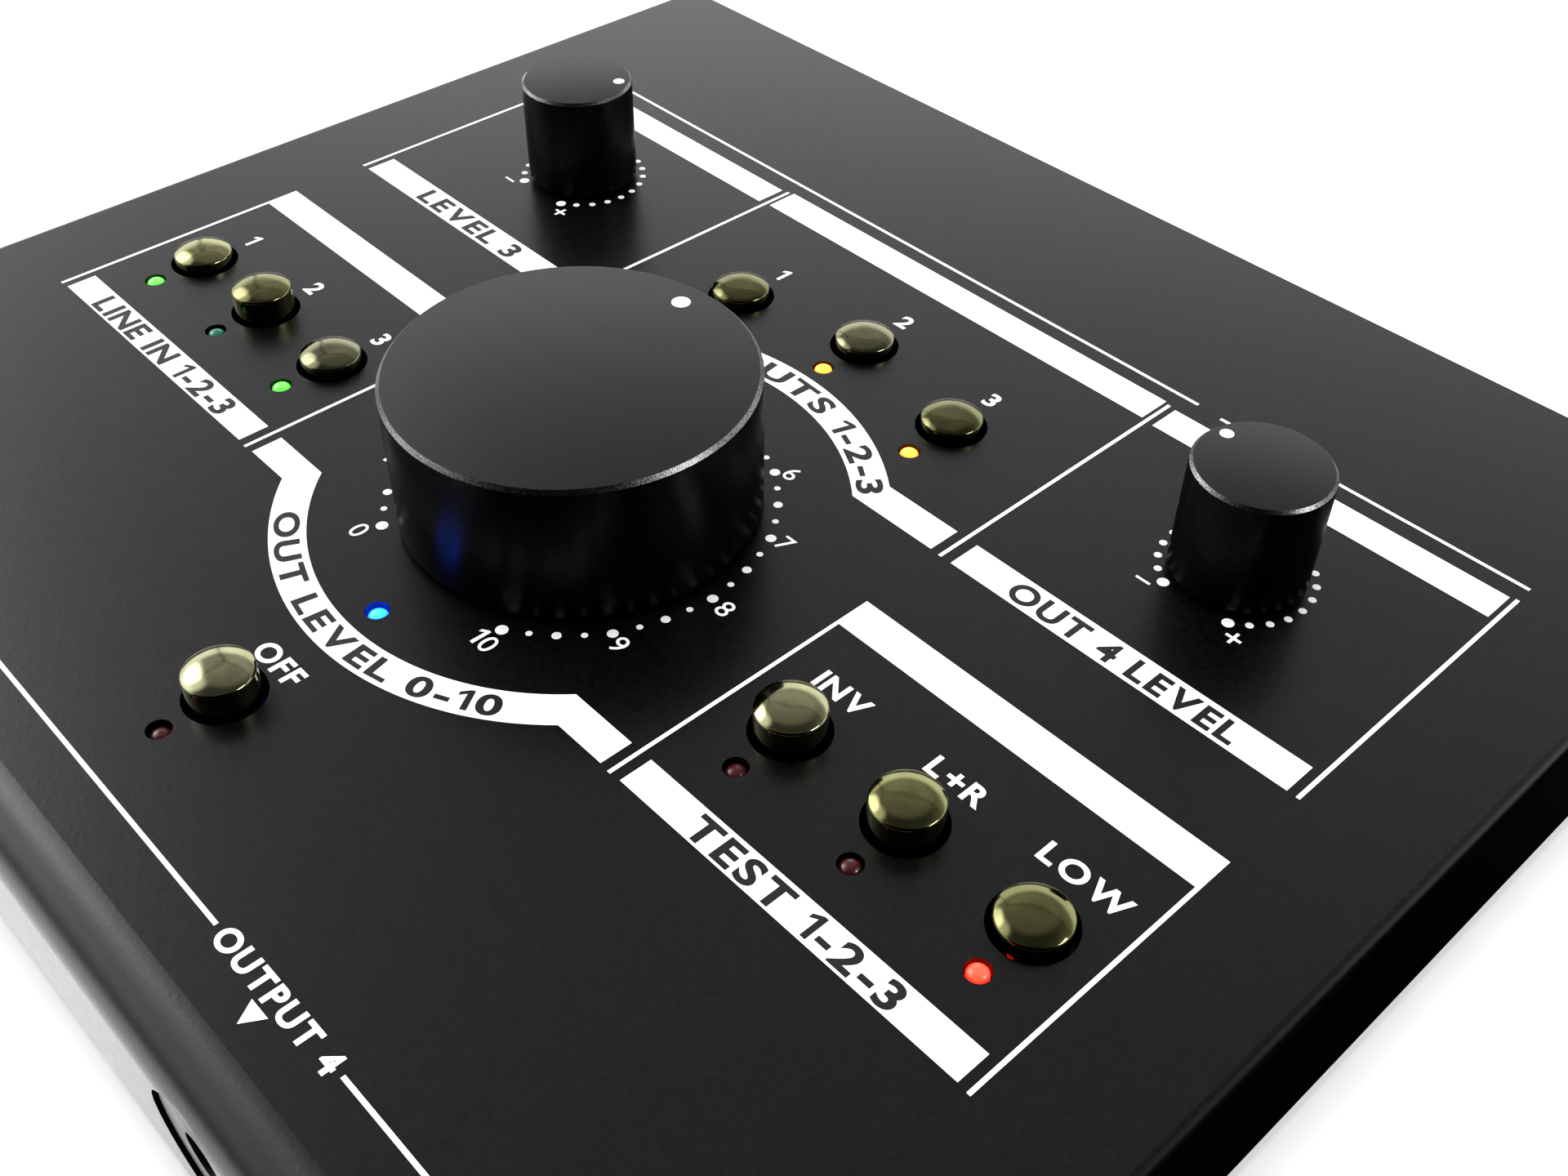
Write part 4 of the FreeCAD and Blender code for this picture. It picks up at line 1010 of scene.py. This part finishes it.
def socket_block(x):
    """The outline of a socket's body, seen from the rear."""
    left, right = x - SOCKET_HALF, x + SOCKET_HALF
    return [
        (left, MAIN_BOARD_TOP), (right, MAIN_BOARD_TOP),
        (right, SOCKET_TOP - SOCKET_BEVEL), (right - SOCKET_BEVEL, SOCKET_TOP),
        (left + SOCKET_BEVEL, SOCKET_TOP), (left, SOCKET_TOP - SOCKET_BEVEL),
    ]


def line_sockets(materials):
    foot, mouth = REAR_INNER - PAST, REAR_FACE + SOCKET_REACH
    collar = [(0, foot), (SOCKET_RADIUS, foot),
              *thread(SOCKET_RADIUS, REAR_FACE + NUT_HEIGHT, mouth - 0.3, 0.5, 0.22),
              (SOCKET_RADIUS - 0.35, mouth), (0, mouth)]
    end = mouth - THROAT_DEPTH
    throat = [(0, end), (THROAT_RADIUS, end), (THROAT_RADIUS, mouth - 0.5),
              (THROAT_MOUTH, mouth + 0.1), (0, mouth + 0.1)]
    for node, centres in (("input_sockets", LINE_SOCKETS[:INPUTS]),
                          ("output_sockets", LINE_SOCKETS[INPUTS:])):
        blocks = Collector()
        for x in centres:
            blocks.prism(socket_block(x), REAR_INNER - SOCKET_DEPTH, REAR_INNER)
        sockets = facing_rear(blocks).add(
            f"threaded_{node}", materials["socket_moulding"], "case", slot="socket_moulding",
            stands_for=[node],
        )
        cut(sockets, bores(centres, collar), "UNION")
        cut(sockets, bores(centres, throat))


def aux_nut(materials):
    """The small socket's round nut, with two slots for a key."""
    face = REAR_FACE + NUT_HEIGHT
    ring = [(0, REAR_FACE), (AUX_NUT_RADIUS, REAR_FACE), (AUX_NUT_RADIUS, face - AUX_NUT_EDGE),
            (AUX_NUT_RADIUS - AUX_NUT_EDGE, face), (0, face)]
    nut = bores([AUX_SOCKET], ring, 64).add(
        "slotted_nut", materials["plated_steel"], "case", smooth=30, slot="plated_steel",
        stands_for=["aux_nut"],
    )
    foot, end = REAR_FACE - PAST, face + PAST
    hole = [(0, foot), (AUX_NUT_BORE, foot), (AUX_NUT_BORE, end), (0, end)]
    cut(nut, bores([AUX_SOCKET], hole))
    slots = Collector()
    left, right = AUX_SOCKET - SLOT_HALF, AUX_SOCKET + SLOT_HALF
    for low, high in ((SOCKET_LEVEL - 9, SOCKET_LEVEL - 2), (SOCKET_LEVEL + 2, SOCKET_LEVEL + 9)):
        outline = [(left, low), (right, low), (right, high), (left, high)]
        slots.prism(outline, face - SLOT_DEPTH, end)
    cut(nut, facing_rear(slots))


def rear_controls(materials):
    """The power button with its dished face, and the sleeve of the power inlet's pin."""
    radius, tip, foot = 3.5, REAR_FACE + 3, REAR_INNER - 7.5
    side = corner(radius, tip, 0.7, -1)[::-1]
    dish = [(2.2, tip - 0.12), (1, tip - 0.28), (0, tip - 0.32)]
    button = bores([POWER_BUTTON], [(0, foot), (radius, foot), *side, *dish], 64)
    button.add("dished_power_button", materials["black_moulding"], "power_key", smooth=35,
               slot="black_moulding", stands_for=["power_button"])
    end = REAR_FACE - 0.4
    pin = [(0, end - 8), (1.04, end - 8), (1.04, end - 0.35), (0.7, end + 0.03), (0, end + 0.03)]
    bores([INLET], pin, 32).add("dc_pin_sleeve", materials["plated_steel"], "case", smooth=30)


# --- floor and surroundings ---

FLOOR_HALF, FLOOR_GLOW = 30.0, 0.3


def make_floor():
    s = Shader("pale_floor", (0.86, 0.86, 0.86), 0.6)
    s.paint(s.noise(8), (0.84, 0.84, 0.84), (0.88, 0.88, 0.88))
    s.main.inputs["Emission Color"].default_value = (1, 1, 1, 1)
    s.main.inputs["Emission Strength"].default_value = FLOOR_GLOW
    low, high = -FLOOR_HALF, FLOOR_HALF
    corners = [(low, low, 0), (high, low, 0), (high, high, 0), (low, high, 0)]
    mesh = bpy.data.meshes.new("floor")
    mesh.from_pydata(corners, [], [(0, 1, 2, 3)])
    mesh.materials.append(s.material)
    floor = new_object("floor", mesh)
    floor.visible_glossy = False


class Surround:
    """The world's grey level, worked out from the direction looked in."""

    def __init__(self):
        world = bpy.data.worlds.new("surround")
        world.use_nodes = True
        bpy.context.scene.world = world
        self.tree = world.node_tree
        self.direction = self.tree.nodes.new("ShaderNodeTexCoord").outputs["Generated"]
        self.height = self.towards((0, 0, 1))
        self.total = None

    def towards(self, axis):
        """How far the direction leans towards an axis, from -1 to 1."""
        dot = self.tree.nodes.new("ShaderNodeVectorMath")
        dot.operation = "DOT_PRODUCT"
        self.tree.links.new(self.direction, dot.inputs[0])
        dot.inputs[1].default_value = axis
        return dot.outputs["Value"]

    def between(self, value, stops, way="SMOOTHERSTEP"):
        """A value read off a smooth curve through pairs of value and level."""
        curve = self.tree.nodes.new("ShaderNodeMapRange")
        (start, low), (end, high) = stops
        curve.interpolation_type = way
        self.tree.links.new(value, curve.inputs["Value"])
        ends = {"From Min": start, "From Max": end, "To Min": low, "To Max": high}
        for socket, level in ends.items():
            curve.inputs[socket].default_value = level
        return curve.outputs["Result"]

    def combined(self, operation, *values):
        """One value, or two, through a node of the given operation."""
        node = self.tree.nodes.new("ShaderNodeMath")
        node.operation = operation
        for value, socket in zip(values, node.inputs):
            self.tree.links.new(value, socket)
        return node.outputs["Value"]

    def times(self, first, second):
        return self.combined("MULTIPLY", first, second)

    def add(self, level, *masks):
        """Adds light of a level, held back by masks from 0 to 1."""
        for mask in masks:
            level = self.times(level, mask)
        self.total = self.combined("ADD", self.total, level) if self.total else level

    def glow(self, azimuth, elevation, core, reach, level):
        """A round soft light, full within its core and nothing past its reach, in degrees."""
        edge, full = math.cos(math.radians(reach)), math.cos(math.radians(core))
        towards = self.towards(bearing(azimuth, elevation))
        self.add(self.between(towards, ((edge, 0), (full, level))))

    def tent(self):
        """The seams where the tent's two walls and its ceiling meet, as dark lines."""
        back, left = (self.towards(bearing(wall)) for wall in TENT_WALLS)
        nearer = self.combined("MAXIMUM", back, left)
        reach = self.between(nearer, ((0, 0), (1, TENT_HEIGHT)), "LINEAR")
        over = self.combined("SUBTRACT", self.height, reach)
        corner = self.combined("SUBTRACT", back, left)
        ceiling = self.between(over, ((-0.005, 1), (0.005, CEILING_SHARE)))
        under = self.between(over, ((-0.005, 0), (0.005, 1)))
        seam, upright = (
            self.between(self.combined("ABSOLUTE", near), SEAM) for near in (over, corner)
        )
        upright = self.combined("MAXIMUM", upright, under)
        return self.times(self.times(ceiling, seam), upright)

    def finish(self):
        background = self.tree.nodes["Background"]
        self.tree.links.new(self.total, background.inputs["Color"])
        background.inputs["Strength"].default_value = 1.0


# Each pair of pairs below is a curve's ends: a value, and the level there. The value is the
# sine of a height, or how far a direction leans towards a bearing.

# The wall behind: its bearing, its foot, and how its lower and its upper light fade upwards
# and to the sides.
WALL = 136
WALL_FOOT = ((0.0, 0), (0.2, 1))
WALL_LIGHTS = (
    (((0.36, 1.35), (0.58, 0)), ((-0.25, 0), (0.3, 1))),
    (((0.45, 0.55), (1.0, 0.12)), ((-0.5, 0), (-0.25, 1))),
)
# The tent: its walls' bearings, its ceiling's height over the distance to them, the
# ceiling's share of the light and the dark of a seam.
TENT_WALLS = (113, 203)
TENT_HEIGHT, CEILING_SHARE = 1.246, 0.86
SEAM = ((0.012, 0.5), (0.035, 1))
# The lit floor at the front left and at the rear: bearing, fade to the sides and upwards.
LIT_FLOORS = (
    (210, ((0.35, 0), (0.62, 1.8)), ((-0.22, 1), (-0.1, 0))),
    (135, ((0.4, 0), (0.75, 0.9)), ((-0.1, 1), (-0.02, 0))),
)
# Azimuth, elevation, core, reach and level of each soft light.
CEILING_LIGHT = (136, 60, 10, 35, 0.3)
SOFT_LIGHTS = ((190, 36, 8, 19, 3.6), (206, 46, 6, 22, 1.5), (226, 20, 8, 32, 0.8))


def make_world():
    """A studio mirrored in the black paint: a bright wall behind, a soft light at the left,
    the lit floor at the front left, and the dark room on the camera's side."""
    world = Surround()
    above = world.between(world.height, WALL_FOOT)
    for fade, spread in WALL_LIGHTS:
        beside = world.between(world.towards(bearing(WALL)), spread)
        world.add(world.between(world.height, fade), beside, above)
    world.glow(*CEILING_LIGHT)
    world.total = world.times(world.total, world.tent())
    for azimuth, spread, fade in LIT_FLOORS:
        beside = world.between(world.towards(bearing(azimuth)), spread)
        world.add(beside, world.between(world.height, fade))
    for light in SOFT_LIGHTS:
        world.glow(*light)
    world.finish()


# --- lights ---

# Bearing and height in degrees, width and depth in metres, and radiance.
WINDOW = (27, 37, 0.34, 0.22, 12)
OVERHEAD = (0, 90, 0.4, 0.4, 12)
LIGHT_DISTANCE = 1.0
POWER_GLOW = {"energy": 0.0015, "color": (0.02, 0.11, 1.0), "shadow_soft_size": 0.0035}
POWER_GLOW_AT = (*POWER_LAMP, 3)


def area_light(name, azimuth, elevation, width, height, radiance):
    """A soft box that faces the object, from a bearing and height in degrees."""
    outward = bearing(azimuth, elevation)
    data = bpy.data.lights.new(name, "AREA")
    data.shape = "RECTANGLE"
    data.size, data.size_y = width, height
    data.energy = radiance * math.pi * width * height
    light = new_object(name, data)
    light.location = outward * LIGHT_DISTANCE
    light.rotation_mode = "QUATERNION"
    light.rotation_quaternion = (-outward).to_track_quat("-Z", "Y")
    return light


def light_only(light, name, pieces):
    """Keeps a light to some pieces, through a collection that holds them."""
    reached = bpy.data.collections.new(name)
    for piece in pieces:
        reached.objects.link(piece)
    light.light_linking.receiver_collection = reached


def make_lights():
    window = area_light("window", *WINDOW)
    # The photo has no bright line along the cover's right fold.
    meshes = [piece for piece in bpy.data.objects if piece.type == "MESH"]
    light_only(window, "lit_by_window", [m for m in meshes if m != nodes["top_cover"]])
    area_light("overhead", *OVERHEAD).visible_glossy = False
    glow = bpy.data.lights.new("power_glow", "POINT")
    for key, value in POWER_GLOW.items():
        setattr(glow, key, value)
    light = new_object("power_glow", glow)
    light.location = place(*POWER_GLOW_AT)
    # The photo has no halo on the panel round the lamp.
    light_only(light, "lit_by_power_lamp", [bpy.data.objects["turned_master_knob"]])


# --- build ---

LAMP_FINISHES = {
    "green_lamp": "green_lit", "amber_lamp": "amber_lit",
    "red_lamp": "red_off", "blue_lamp": "blue_lit",
}


def coat_nodes(materials):
    """Gives each CAD node the finish that the record's subparts name."""
    for part in frame["record"]["subparts"]:
        data = nodes[part["node"]].data
        data.materials.clear()
        slot = part["material_slot"]
        data.materials.append(materials[LAMP_FINISHES.get(slot, slot)])


def main():
    scene = bpy.context.scene
    scene.view_settings.view_transform = "Standard"
    scene.view_settings.look = "Medium High Contrast"
    materials = make_materials()
    coat_nodes(materials)
    print_panel(materials)
    knobs(materials)
    caps()
    lamps(materials)
    feet(materials)
    cover_screws(materials)
    socket_nuts(materials)
    line_sockets(materials)
    aux_nut(materials)
    rear_controls(materials)
    make_floor()
    make_world()
    make_lights()
    make_camera()


main()
